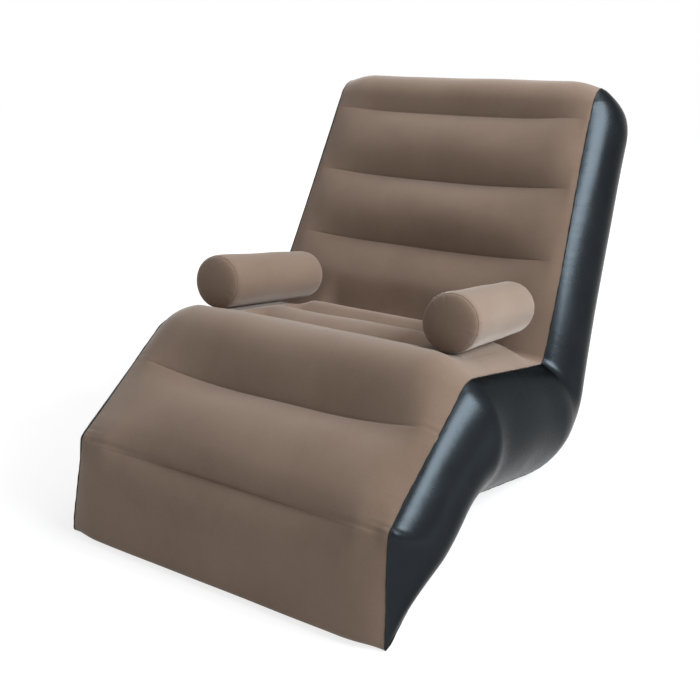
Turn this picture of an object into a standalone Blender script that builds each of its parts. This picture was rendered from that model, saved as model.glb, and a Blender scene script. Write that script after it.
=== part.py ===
"""Inflatable air lounger: an S-shaped air chamber of welded PVC sheets with two bolster armrests.

Metres, +Z up, the foot towards -Y, the back towards +Y, and the origin on the floor at the
centre of the box.  The side outline of the chamber is one closed path of rounded corners.
Cross beams inside tie the flocked top sheet to the base sheet and draw the channels in.
"""
import math

import bmesh
import bpy
from mathutils import Matrix, Vector

# Side outline, as corner points before rounding: y runs back from the toe, z runs up
TOE_DROP = 0.0100
FOOT_LEAN = 0.031
FOOT_HEIGHT = 0.217
KNEE_REACH = 0.321
KNEE_HEIGHT = 0.409
SEAT_REACH = 0.779
SEAT_HEIGHT = 0.310
BACK_LENGTH = 0.736
BACK_LEAN = math.radians(28.3)
BACK_THICKNESS = 0.271
REAR_TOP_RISE = 0.039
ARCH_REACH = 0.339
ARCH_HEIGHT = 0.140
HEEL_HEIGHT = -0.0175

# Corner radii of the side outline
TOE_RADIUS = 0.012
FOOT_RADIUS = 0.026
KNEE_RADIUS = 0.082
SEAT_RADIUS = 0.0245
CROWN_RADIUS = 0.076
REAR_TOP_RADIUS = 0.076
HEEL_RADIUS = 0.163
ARCH_RADIUS = 0.142

# Width between the side seams
TOE_WIDTH = 0.760
FOOT_WIDTH = 0.729
KNEE_WIDTH = 0.752
SEAT_WIDTH = 0.7865
BACK_TOP_WIDTH = 0.7295

# Sheets
FLOCKED_SHEET = 0.0010
PLAIN_SHEET = 0.0006
BEAM_SHEET = 0.0005
WELD_GAP = 0.0003
SEAM_OFFSET = 0.0004
WELD_SETBACK = 0.0006

# Height of the top sheet's crown over the seam line, channels apart
TOP_END_CROWN = 0.016
BACK_CROWN = 0.012
BACK_FOOT_CROWN = 0.006
SEAT_REAR_CROWN = 0.048
SEAT_CROWN = 0.050
KNEE_CROWN = 0.043
LEG_CROWN = 0.014
FOOT_CROWN = 0.016
TOE_CROWN = 0.020
TOE_MARGIN = 0.022
CROWN_MARGIN = 0.085
SEAT_CROWN_MARGIN = 0.160
WELD_MARGIN = 0.060

# Height of the base sheet's crown
LEG_UNDER_CROWN = 0.008
ARCH_CROWN = 0.002
SEAT_UNDER_CROWN = 0.037
HEEL_CROWN = 0.041
REAR_CROWN = 0.016
REAR_TOP_CROWN = 0.024

# Side sheets
SIDE_ARC = math.radians(53.6)
SIDE_END_MARGIN = 0.110

# Cross beams: place of each channel, and how far it lies from the seam line
BACK_BEAM_PLACES = {"upper": 0.631, "middle": 0.444, "lower": 0.253}
SEAT_BEAM_PLACES = {"rear": 0.310, "front": 0.160}
LEG_BEAM_PLACES = {"upper": 0.2145, "lower": 0.012}
BACK_CHANNEL_HEIGHT = -0.028
CORNER_CHANNEL_HEIGHT = -0.010
SEAT_CHANNEL_HEIGHT = 0.014
LEG_CHANNEL_HEIGHT = -0.026
BASE_CHANNEL_HEIGHT = -0.018
HEEL_CHANNEL_HEIGHT = 0.001
BEAM_HALF_LENGTH = 0.300
SEAT_BEAM_HALF_LENGTH = 0.218
CHANNEL_FADE = 0.058
SEAT_CHANNEL_FADE = 0.044
END_CHANNEL_REACH = 0.100
BEAM_WELD_WIDTH = 0.008
BEAM_WAIST = 0.018

# Armrest bolsters
BOLSTER_RADIUS = 0.0635
BOLSTER_LENGTH = 0.379
BOLSTER_SPACING = 0.594
BOLSTER_SETBACK = 0.0927
BOLSTER_UNDERSIDE_RISE = 0.0142
BOLSTER_LIFT = math.radians(4.1)
BOLSTER_RIM_RADIUS = 0.0600
BOLSTER_RIM_ROUND = 0.014
FRONT_DOME = 0.016
REAR_DOME = 0.010
REAR_FLAT_RADIUS = 0.042
BOLSTER_SIDES = 24
BOLSTER_REST_GAP = 0.0004
PATCH_SHEET = 0.0008
PATCH_WIDTH = 0.070
SADDLE_SHARE = 0.64
SADDLE_FADE = 0.043

# Bolster valve
SMALL_VALVE_RISE = 0.020
SMALL_FLANGE_RADIUS = 0.0130
SMALL_FLANGE_THICKNESS = 0.0010
SMALL_COLLAR_DEPTH = 0.0040
SMALL_COLLAR_WALL = 0.0012
STEM_RADIUS = 0.0060
STEM_BORE = 0.0042
STEM_OUT = 0.0110
STEM_IN = 0.0090
STEM_RIM_RADIUS = 0.0076
STEM_RIM = 0.0014
STEM_TAB_REACH = 0.0090
STEM_TAB_WIDTH = 0.0050
PLUG_DISC = 0.0015
PLUG_NUB_LENGTH = 0.0050
PLUG_NUB_RADIUS = 0.0039
PLUG_NUB_TIP_RADIUS = 0.0028
SMALL_FLAP_RADIUS = 0.0052
SMALL_FLAP = 0.0006
RUNNING_GAP = 0.0003

# Main valve
MAIN_VALVE_X = -0.150
MAIN_VALVE_SHARE = 0.50
FLANGE_RADIUS = 0.0280
FLANGE_THICKNESS = 0.0012
SOCKET_RADIUS = 0.0200
SOCKET_BORE = 0.0172
SOCKET_HEIGHT = 0.0070
SOCKET_DEPTH = 0.0080
SEAL_WIDTH = 0.0018
SEAL_HEIGHT = 0.0010
PLUG_RADIUS = 0.0169
PLUG_DEPTH = 0.0100
PLUG_RIM_RADIUS = 0.0215
PLUG_RIM_HEIGHT = 0.0030
NECK_RADIUS = 0.0140
NECK_HEIGHT = 0.0064
VALVE_BORE = 0.0115
CAP_RADIUS = 0.0175
CAP_TOP = 0.0020
CAP_GAP = 0.0004
BUTTON_RADIUS = 0.0030
BUTTON_HEIGHT = 0.0022
BUTTON_HEAD_RADIUS = 0.0050
BUTTON_HEAD = 0.0010
TETHER_SHEET = 0.0012
TETHER_WIDTH = 0.0060
TETHER_CLEARANCE = 0.0018
TETHER_RING_WALL = 0.0030
FLAP_THICKNESS = 0.0008
FLAP_OVERLAP = 0.0020
CUT_OVERRUN = 0.0200
VALVE_SIDES = 24

# Rows and columns of the sheets' meshes
CHANNEL_ROW_SHARES = (0.14, 0.50, 0.86)
VALVE_ROW_SHARES = (0.14, 0.37, 0.63, 0.86)
KNEE_ROW_SHARES = (0.12, 0.32, 0.45, 0.56, 0.68, 0.86)
CROWN_ROW_SHARES = (0.50,)
SIDE_COLUMN_SHARES = (0.0, 0.10, 0.27, 0.50, 0.73, 0.90, 1.0)
EDGE_COLUMN = 0.015
WELD_ROW = 0.004
MERGE = 0.00001
SEARCH_STEPS = 400


def clear_scene():
    """Empty the file that the script starts in."""
    for item in list(bpy.data.objects):
        bpy.data.objects.remove(item, do_unlink=True)


def make_material(name, colour, roughness, metallic=0.0):
    """A Principled material of one colour."""
    material = bpy.data.materials.new(name)
    material.use_nodes = True
    shader = material.node_tree.nodes["Principled BSDF"]
    shader.inputs["Base Color"].default_value = (*colour, 1.0)
    shader.inputs["Roughness"].default_value = roughness
    shader.inputs["Metallic"].default_value = metallic
    material.diffuse_color = (*colour, 1.0)
    return material


def link_object(name, data, material, matrix=None):
    """Put a named object of the lounger into its collection."""
    item = bpy.data.objects.new(name, data)
    PARTS.objects.link(item)
    data.materials.append(material)
    if matrix is not None:
        item.matrix_world = matrix
    return item


def shade(mesh, angle=math.radians(40.0)):
    """Smooth shading with sharp edges where the faces turn by more than the angle."""
    mesh.shade_smooth()
    mesh.set_sharp_from_angle(angle=angle)


def ease(share):
    """Smooth step from 0 to 1."""
    share = min(max(share, 0.0), 1.0)
    return share * share * (3.0 - 2.0 * share)


def round_edge(share):
    """Quarter-circle rise from 0 to 1."""
    share = min(max(share, 0.0), 1.0)
    return math.sqrt(1.0 - (1.0 - share) ** 2)


class Outline:
    """Closed path of straight runs and corner arcs in the (y, z) plane, by distance along it."""

    def __init__(self, corners, radii):
        self.runs = []
        self.corner_at = []
        count = len(corners)
        joints = []
        for index, corner in enumerate(corners):
            before = (corners[index - 1] - corner).normalized()
            after = (corners[(index + 1) % count] - corner).normalized()
            half_angle = math.acos(max(-1.0, min(1.0, before.dot(after)))) / 2
            setback = radii[index] / math.tan(half_angle)
            middle = (before + after).normalized()
            centre = corner + middle * (radii[index] / math.sin(half_angle))
            joints.append((corner + before * setback, corner + after * setback, centre, radii[index]))
        place = 0.0
        for index, (start, end, centre, radius) in enumerate(joints):
            first = math.atan2(start.y - centre.y, start.x - centre.x)
            last = math.atan2(end.y - centre.y, end.x - centre.x)
            sweep = (last - first + math.pi) % (2 * math.pi) - math.pi
            length = abs(sweep) * radius
            if index == 0:
                place = -length / 2
            self.corner_at.append(place + length / 2)
            self.runs.append((place, length, centre, radius, first, sweep))
            place += length
            following = joints[(index + 1) % count][0]
            straight = (following - end).length
            self.runs.append((place, straight, end, 0.0, following, None))
            place += straight
        self.length = place + self.runs[0][1] / 2

    def at(self, distance):
        """Point of the path at a distance from the middle of the first corner."""
        start, length, _, _, _, _ = self.runs[0]
        if distance >= self.length + start:
            distance -= self.length
        if distance < start:
            distance += self.length
        for place, length, origin, radius, first, sweep in self.runs:
            if distance <= place + length + MERGE:
                share = (distance - place) / length
                if sweep is None:
                    return origin.lerp(first, share)
                angle = first + sweep * share
                return origin + radius * Vector((math.cos(angle), math.sin(angle)))
        return self.runs[-1][4].copy()

    def outward(self, distance, reach):
        """Unit normal away from the chamber, averaged over a reach to both sides."""
        chord = self.at(distance + reach) - self.at(distance - reach)
        return Vector((chord.y, -chord.x)).normalized()

    def nearest(self, point, first, last, steps=SEARCH_STEPS):
        """Distance along the path, between two limits, of the place nearest to a point."""
        step = (last - first) / steps
        best = min(range(steps + 1), key=lambda i: (self.at(first + step * i) - point).length)
        middle = first + step * best
        fine = step / steps
        best = min(range(-steps, steps + 1), key=lambda i: (self.at(middle + fine * i) - point).length)
        return middle + fine * best


def along_stations(distance, stations):
    """Value at a distance, eased between stations of (distance, value)."""
    for (start, low), (end, high) in zip(stations[:-1], stations[1:]):
        if distance <= end:
            return low + (high - low) * ease((distance - start) / (end - start))
    return stations[-1][1]


def ray_meets(origin, direction, start, end):
    """Point where a ray meets the line through two points."""
    edge = end - start
    across = direction.x * edge.y - direction.y * edge.x
    gap = start - origin
    reach = (gap.x * edge.y - gap.y * edge.x) / across
    return origin + direction * reach


def across_shares():
    """Turn round a side sheet's section and share from the top seam to the base seam, by column."""
    turns = [SIDE_ARC * (2.0 * share - 1.0) for share in SIDE_COLUMN_SHARES]
    return [(turn, (math.sin(turn) / math.sin(SIDE_ARC) + 1.0) / 2) for turn in turns]


class Chamber:
    """The sheets' shape: the side outline, the crowns over it and the channels drawn into it."""

    def __init__(self):
        up_back = Vector((math.sin(BACK_LEAN), math.cos(BACK_LEAN)))
        to_rear = Vector((math.cos(BACK_LEAN), -math.sin(BACK_LEAN)))
        self.toe = Vector((0.0, -TOE_DROP))
        self.foot = Vector((FOOT_LEAN, FOOT_HEIGHT))
        self.knee = Vector((KNEE_REACH, KNEE_HEIGHT))
        self.seat = Vector((SEAT_REACH, SEAT_HEIGHT))
        self.crown = self.seat + up_back * BACK_LENGTH
        self.rear_top = self.crown + to_rear * BACK_THICKNESS + up_back * REAR_TOP_RISE
        self.arch = Vector((ARCH_REACH, ARCH_HEIGHT))
        rear_foot = self.seat + to_rear * BACK_THICKNESS
        ground = (Vector((0.0, HEEL_HEIGHT)), Vector((SEAT_REACH, HEEL_HEIGHT)))
        self.heel = ray_meets(rear_foot, -up_back, *ground)
        corners = (self.toe, self.arch, self.heel, self.rear_top, self.crown, self.seat, self.knee, self.foot)
        radii = (TOE_RADIUS, ARCH_RADIUS, HEEL_RADIUS, REAR_TOP_RADIUS, CROWN_RADIUS,
                 SEAT_RADIUS, KNEE_RADIUS, FOOT_RADIUS)
        self.path = Outline(corners, radii)
        (_, self.arch_at, self.heel_at, self.rear_top_at, self.crown_at,
         self.seat_at, self.knee_at, self.foot_at) = self.path.corner_at
        self.end_at = self.path.length
        self.bolster_front = self.knee + Vector((BOLSTER_SETBACK, BOLSTER_UNDERSIDE_RISE + BOLSTER_RADIUS))
        seat_fall = math.atan2(self.knee.y - self.seat.y, self.seat.x - self.knee.x)
        tilt = seat_fall - BOLSTER_LIFT
        self.bolster_along = Vector((math.cos(tilt), -math.sin(tilt)))
        self.bolster_up = Vector((math.sin(tilt), math.cos(tilt)))
        self.place_beams()
        self.place_rows()

    def top_place(self, corner, towards, distance):
        """Distance along the path of a point on the top sheet, at a distance from a corner."""
        point = corner + (towards - corner).normalized() * distance
        return self.path.nearest(point, self.crown_at, self.foot_at)

    def place_beams(self):
        """List the beams from the back's top to the foot: name, top place, base place, channel height."""
        back = [("back_beam_" + name, self.top_place(self.seat, self.crown, place), BACK_CHANNEL_HEIGHT)
                for name, place in BACK_BEAM_PLACES.items()]
        corner = [("corner_beam", self.seat_at, CORNER_CHANNEL_HEIGHT)]
        seat = [("seat_beam_" + name, self.top_place(self.knee, self.seat, place), SEAT_CHANNEL_HEIGHT)
                for name, place in SEAT_BEAM_PLACES.items()]
        leg = [("leg_beam_" + name, self.top_place(self.foot, self.knee, place), LEG_CHANNEL_HEIGHT)
               for name, place in LEG_BEAM_PLACES.items()]
        self.beams = []
        for name, top_at, height in back + corner + seat + leg:
            start = self.path.at(top_at)
            inward = -self.path.outward(top_at, SEAT_RADIUS)
            edge = (self.rear_top, self.heel) if name.startswith("back") else (self.heel, self.arch)
            if name.startswith("leg"):
                edge = (self.arch, self.toe)
            target = ray_meets(start, inward, *edge)
            base_at = self.path.nearest(target, 0.0, self.rear_top_at)
            self.beams.append((name, top_at, base_at, height))

    def place_rows(self):
        """Rows shared by all the sheets: (top place, base place) from the back's top to the foot."""
        stops = [(self.crown_at, self.rear_top_at)]
        stops += [(top_at, base_at) for _, top_at, base_at, _ in self.beams]
        stops.append((self.foot_at, 0.0))
        names = [name for name, _, _, _ in self.beams]
        between = [CHANNEL_ROW_SHARES] * (len(stops) - 1)
        between[0] = CROWN_ROW_SHARES
        between[names.index("corner_beam")] = VALVE_ROW_SHARES
        between[names.index("leg_beam_upper")] = KNEE_ROW_SHARES
        between[-1] = ()
        self.valve_interval = names.index("corner_beam")
        self.rows = []
        for (start, end), shares in zip(zip(stops[:-1], stops[1:]), between):
            for share in (0.0, *shares):
                self.rows.append(tuple(a + (b - a) * share for a, b in zip(start, end)))
        self.rows.append(stops[-1])
        self.stops = stops

    def half_width(self, distance):
        """Half the width between the side seams at a place on the path."""
        stations = ((0.0, TOE_WIDTH), (self.arch_at, KNEE_WIDTH), (self.heel_at, SEAT_WIDTH),
                    (self.rear_top_at, BACK_TOP_WIDTH), (self.crown_at, BACK_TOP_WIDTH),
                    (self.seat_at, SEAT_WIDTH), (self.knee_at, KNEE_WIDTH),
                    (self.foot_at, FOOT_WIDTH), (self.end_at, TOE_WIDTH))
        return along_stations(distance, stations) / 2

    def crown_height(self, distance):
        """Height of the sheets over the seam line, between the channels."""
        seat_middle = (self.seat_at + self.knee_at) / 2
        seat_rear = self.seat_at + (self.knee_at - self.seat_at) / 4
        back_middle = (self.crown_at + self.seat_at) / 2
        under_seat = (self.arch_at + self.heel_at) / 2
        stations = ((0.0, 0.0), (WELD_MARGIN, LEG_UNDER_CROWN), (self.arch_at, ARCH_CROWN),
                    (under_seat, SEAT_UNDER_CROWN), (self.heel_at, HEEL_CROWN),
                    ((self.heel_at + self.rear_top_at) / 2, REAR_CROWN),
                    (self.rear_top_at - WELD_MARGIN, REAR_TOP_CROWN), (self.rear_top_at, 0.0),
                    (self.rear_top_at + WELD_MARGIN, TOP_END_CROWN), (self.crown_at, TOP_END_CROWN),
                    (back_middle, BACK_CROWN), (self.seat_at, BACK_FOOT_CROWN),
                    (seat_rear, SEAT_REAR_CROWN), (seat_middle, SEAT_CROWN), (self.knee_at, KNEE_CROWN),
                    ((self.knee_at + self.foot_at) / 2, LEG_CROWN), (self.foot_at, FOOT_CROWN),
                    (self.end_at - TOE_MARGIN, TOE_CROWN), (self.end_at, 0.0))
        return along_stations(distance, stations)

    def crown_share(self, distance, x):
        """Share of the crown at a place, from none at the side seam; it rises less steeply on the seat."""
        inset = self.half_width(distance) - SEAM_OFFSET - abs(x)
        third = (self.knee_at - self.seat_at) / 3
        slack = along_stations(distance, ((self.seat_at, 0.0), (self.seat_at + third, 1.0),
                                          (self.knee_at - third, 1.0), (self.knee_at, 0.0)))
        if not self.seat_at < distance < self.knee_at:
            slack = 0.0
        tight = round_edge(inset / CROWN_MARGIN)
        return tight + (round_edge(inset / SEAT_CROWN_MARGIN) ** 2 - tight) * slack

    def channel_depth(self, distance, x, on_top):
        """How far the channels draw the sheet in at a place."""
        places = sorted((top_at if on_top else base_at, name, height)
                        for name, top_at, base_at, height in self.beams)
        depth = 0.0
        for index, (at, name, height) in enumerate(places):
            beyond = index + 1 if distance > at else index - 1
            reach = END_CHANNEL_REACH
            if 0 <= beyond < len(places):
                reach = abs(places[beyond][0] - at) / 2
            share = 1.0 - abs(distance - at) / reach
            if share <= 0.0:
                continue
            base_height = HEEL_CHANNEL_HEIGHT if name == "corner_beam" else BASE_CHANNEL_HEIGHT
            bottom = height if on_top else base_height
            short = name.startswith("seat") or name.startswith("corner")
            half_length = SEAT_BEAM_HALF_LENGTH if short and on_top else BEAM_HALF_LENGTH
            fade = SEAT_CHANNEL_FADE if short and on_top else CHANNEL_FADE
            along = 1.0 - ease((abs(x) - half_length) / fade)
            depth += (self.crown_height(at) - bottom) * share * share * along
        return depth

    def saddle(self, point, out, x):
        """How far to move a point of the top sheet so that a bolster lies on the sheet there."""
        offset = point - self.bolster_front
        place = offset.dot(self.bolster_along)
        level = BOLSTER_RADIUS + BOLSTER_REST_GAP + PATCH_SHEET + WELD_GAP
        move = -(offset.dot(self.bolster_up) + level) / out.dot(self.bolster_up)
        outside = abs(x) - BOLSTER_X
        beside = abs(outside) - PATCH_WIDTH / 2
        beyond = max(-FRONT_DOME - place, place - BOLSTER_LENGTH * SADDLE_SHARE)
        if move > 0.0:
            move *= 1.0 - ease(2.0 * outside / PATCH_WIDTH)
        return move * (1.0 - ease(beside / SADDLE_FADE)) * (1.0 - ease(beyond / SADDLE_FADE))

    def surface(self, distance, x, on_top, lift=0.0):
        """Point of the outer surface, moved out by a lift, flat where it rests on the floor."""
        crown = self.crown_share(distance, x) * self.crown_height(distance)
        height = crown - self.channel_depth(distance, x, on_top)
        out = self.path.outward(distance, FOOT_RADIUS)
        point = self.path.at(distance) + out * height
        if on_top and self.seat_at < distance < self.foot_at:
            point += out * self.saddle(point, out, x)
        point += out * lift
        return Vector((x, point.x - ORIGIN_Y, max(point.y, 0.0)))

    def along(self, distance, on_top):
        """Direction along a sheet's middle line at a place."""
        before = self.surface(distance - FOOT_RADIUS, 0.0, on_top)
        after = self.surface(distance + FOOT_RADIUS, 0.0, on_top)
        return (after - before).normalized()

    def columns(self, distance, centre_columns):
        """Places across the sheet, from the left seam to the right seam."""
        seam = self.half_width(distance) - SEAM_OFFSET
        right = (*centre_columns, seam - EDGE_COLUMN, seam)
        return [-x for x in reversed(right)] + [0.0, *right]


def sheet_from_grid(name, grid, thickness, material, lift_side=-1.0):
    """A sheet with its outer surface on a grid of points, thickened to the inside."""
    mesh = bpy.data.meshes.new(name)
    model = bmesh.new()
    vertices = [[model.verts.new(point) for point in row] for row in grid]
    for upper, lower in zip(vertices[:-1], vertices[1:]):
        for index in range(len(upper) - 1):
            model.faces.new((upper[index], lower[index], lower[index + 1], upper[index + 1]))
    bmesh.ops.triangulate(model, faces=model.faces, quad_method="FIXED")
    model.to_mesh(mesh)
    model.free()
    shade(mesh)
    item = link_object(name, mesh, material)
    solid = item.modifiers.new("Sheet thickness", "SOLIDIFY")
    solid.thickness = thickness
    solid.offset = lift_side
    return item


def top_grid(chamber):
    """Grid of the flocked sheet over the back, the seat, the leg rest and the foot."""
    inner = [across for _, across in across_shares()][1:-1]
    places = [chamber.rear_top_at + WELD_SETBACK, chamber.rear_top_at + WELD_ROW]
    span = chamber.rear_top_at - chamber.crown_at
    places += [chamber.crown_at + span * across for across in reversed(inner)]
    places += [top_at for top_at, _ in chamber.rows]
    span = chamber.end_at - chamber.foot_at
    places += [chamber.foot_at + span * across for across in inner]
    places += [chamber.end_at - WELD_ROW, chamber.end_at - WELD_SETBACK]
    return [[chamber.surface(at, x, True) for x in chamber.columns(at, TOP_COLUMNS)] for at in places]


def base_grid(chamber):
    """Grid of the plain sheet behind the back and under the seat and the leg rest."""
    places = [chamber.rear_top_at - WELD_SETBACK, chamber.rear_top_at - WELD_ROW]
    places += [base_at for _, base_at in chamber.rows[1:-1]]
    places += [WELD_ROW, WELD_SETBACK]
    return [[chamber.surface(at, -x, False) for x in chamber.columns(at, BASE_COLUMNS)] for at in places]


def middle_of(*grids):
    """Middle of the stretch along Y that some grids of points take up."""
    reach = [point.y for grid in grids for row in grid for point in row]
    return (min(reach) + max(reach)) / 2


def side_grid(chamber, side):
    """Grid of a side sheet: a patch between four seams, swollen out to a round section."""
    path = chamber.path

    def seam(distance):
        point = path.at(distance)
        return Vector((chamber.half_width(distance) + SEAM_OFFSET, point.x - ORIGIN_Y, max(point.y, 0.0)))

    top = [seam(top_at) for top_at, _ in chamber.rows]
    base = [seam(base_at) for _, base_at in chamber.rows]
    middles = [(a + b) / 2 for a, b in zip(top, base)]
    lengths = [0.0]
    for before, after in zip(middles[:-1], middles[1:]):
        lengths.append(lengths[-1] + (after - before).length)
    grid = []
    for index, (upper, lower) in enumerate(zip(top, base)):
        along = lengths[index] / lengths[-1]
        swell = round_edge(min(lengths[index], lengths[-1] - lengths[index]) / SIDE_END_MARGIN)
        sagitta = (lower - upper).length / 2 * math.tan(SIDE_ARC / 2) * swell
        row = []
        for turn, across in across_shares():
            head = seam(chamber.crown_at + (chamber.rear_top_at - chamber.crown_at) * across)
            foot = seam(chamber.foot_at + (chamber.end_at - chamber.foot_at) * across)
            point = upper.lerp(lower, across) + head.lerp(foot, along)
            corners = top[0].lerp(base[0], across).lerp(top[-1].lerp(base[-1], across), along)
            point -= corners
            point.x += sagitta * (math.cos(turn) - math.cos(SIDE_ARC)) / (1.0 - math.cos(SIDE_ARC))
            point.x *= side
            row.append(point)
        grid.append(row if side < 0 else row[::-1])
    return grid


def make_side_sheets(chamber):
    """Plain sheets that close the chamber at the left and the right."""
    for name, side in (("left_side_panel", -1.0), ("right_side_panel", 1.0)):
        sheet_from_grid(name, side_grid(chamber, side), PLAIN_SHEET, BLACK_PVC)


def make_beams(chamber):
    """Strips inside the chamber, each with both edges turned over and welded to the sheets."""
    half_weld = BEAM_WELD_WIDTH / 2
    for name, top_at, base_at, _ in chamber.beams:
        short = name.startswith("seat") or name.startswith("corner")
        half_length = SEAT_BEAM_HALF_LENGTH if short else BEAM_HALF_LENGTH
        top_weld = chamber.along(top_at, True) * half_weld
        base_weld = chamber.along(base_at, False) * -half_weld
        columns = []
        for side in (-1.0, 0.0, 1.0):
            x = side * half_length
            waist = Vector((-side * BEAM_WAIST, 0.0, 0.0))
            top = chamber.surface(top_at, x, True, -(FLOCKED_SHEET + WELD_GAP))
            base = chamber.surface(base_at, x, False, -(PLAIN_SHEET + WELD_GAP))
            columns.append((top - top_weld, top + top_weld, (top + top_weld + base + base_weld) / 2 + waist,
                            base + base_weld, base - base_weld))
        sheet_from_grid(name, list(zip(*columns)), BEAM_SHEET, INNER_PVC)


def turned(name, profile, material, matrix, sides):
    """A solid of revolution about its own Z axis; the profile runs down its outer side."""
    closed = profile[0][0] > 0.0
    mesh = bpy.data.meshes.new(name)
    edges = [(index, index + 1) for index in range(len(profile) - 1)]
    if closed:
        edges.append((len(profile) - 1, 0))
    mesh.from_pydata([(radius, 0.0, height) for radius, height in profile], edges, [])
    item = link_object(name, mesh, material, matrix)
    screw = item.modifiers.new("Turn", "SCREW")
    screw.axis = "Z"
    screw.steps = sides
    screw.render_steps = sides
    screw.use_merge_vertices = True
    screw.merge_threshold = MERGE
    return solid_mesh(item)


def solid_mesh(item):
    """The evaluated mesh of an object, welded, as the mesh of a new object in its place."""
    bpy.context.view_layer.update()
    graph = bpy.context.evaluated_depsgraph_get()
    mesh = bpy.data.meshes.new_from_object(item.evaluated_get(graph))
    model = bmesh.new()
    model.from_mesh(mesh)
    bmesh.ops.remove_doubles(model, verts=model.verts, dist=MERGE)
    bmesh.ops.recalc_face_normals(model, faces=model.faces)
    model.to_mesh(mesh)
    model.free()
    shade(mesh)
    name, matrix = item.name, item.matrix_world.copy()
    bpy.data.objects.remove(item, do_unlink=True)
    solid = bpy.data.objects.new(name, mesh)
    PARTS.objects.link(solid)
    solid.name = name
    solid.matrix_world = matrix
    return solid


def combine(item, tool, operation):
    """Join a tool to an object, or cut it out; the tool stays hidden as a guide."""
    for collection in list(tool.users_collection):
        collection.objects.unlink(tool)
    CUTTERS.objects.link(tool)
    tool.hide_render = True
    tool.display_type = "WIRE"
    boolean = item.modifiers.new(operation.title(), "BOOLEAN")
    boolean.operation = operation
    boolean.object = tool


def hinged(item, x, z):
    """Move an object's origin, but not its shape, to a hinge in its own frame."""
    item.data.transform(Matrix.Translation((-x, 0.0, -z)))
    item.matrix_world = shifted(item.matrix_world, x=x, z=z)
    return item


def box_between(name, low, high, material, matrix):
    """A box between two corners in a local frame."""
    mesh = bpy.data.meshes.new(name)
    model = bmesh.new()
    bmesh.ops.create_cube(model, size=1.0)
    low, high = Vector(low), Vector(high)
    size = high - low
    for vertex in model.verts:
        vertex.co = Vector([c * s for c, s in zip(vertex.co, size)]) + (low + high) / 2
    model.to_mesh(mesh)
    model.free()
    return link_object(name, mesh, material, matrix)


def flat_piece(name, points, thickness, material, matrix):
    """A flat piece from its outline in the local XY plane, half its thickness to each side."""
    curve = bpy.data.curves.new(name, "CURVE")
    curve.dimensions = "2D"
    curve.fill_mode = "BOTH"
    curve.extrude = thickness / 2
    spline = curve.splines.new("POLY")
    spline.points.add(len(points) - 1)
    for point, (x, y) in zip(spline.points, points):
        point.co = (x, y, 0.0, 1.0)
    spline.use_cyclic_u = True
    return link_object(name, curve, material, matrix)


def flap_outline(radius, tab_reach, tab_width, sides):
    """Round flap with a straight-sided tab at +X, where it hinges."""
    half = tab_width / 2
    start = math.asin(half / radius)
    points = [(tab_reach, -half), (tab_reach, half)]
    for index in range(sides + 1):
        angle = start + (2 * math.pi - 2 * start) * index / sides
        points.append((radius * math.cos(angle), radius * math.sin(angle)))
    return points


def frame_matrix(origin, outward, towards):
    """Local frame with Z outward and X as near as can be to a direction."""
    z_axis = outward.normalized()
    x_axis = (towards - z_axis * towards.dot(z_axis)).normalized()
    y_axis = z_axis.cross(x_axis)
    matrix = Matrix((x_axis, y_axis, z_axis)).transposed().to_4x4()
    matrix.translation = origin
    return matrix


def shifted(matrix, x=0.0, y=0.0, z=0.0):
    """The frame moved along its own axes."""
    return matrix @ Matrix.Translation((x, y, z))


def main_valve_frame(chamber):
    """Frame of the main valve: on the flat middle of the lowest cell behind the back."""
    _, first = chamber.stops[chamber.valve_interval]
    _, last = chamber.stops[chamber.valve_interval + 1]
    share_below, share_above = VALVE_ROW_SHARES[1], VALVE_ROW_SHARES[2]
    above = chamber.surface(first + (last - first) * share_below, MAIN_VALVE_X, False)
    below = chamber.surface(first + (last - first) * share_above, MAIN_VALVE_X, False)
    up = (above - below).normalized()
    outward = Vector((1.0, 0.0, 0.0)).cross(up) * -1.0
    return frame_matrix(below.lerp(above, MAIN_VALVE_SHARE), outward, up)


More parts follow.
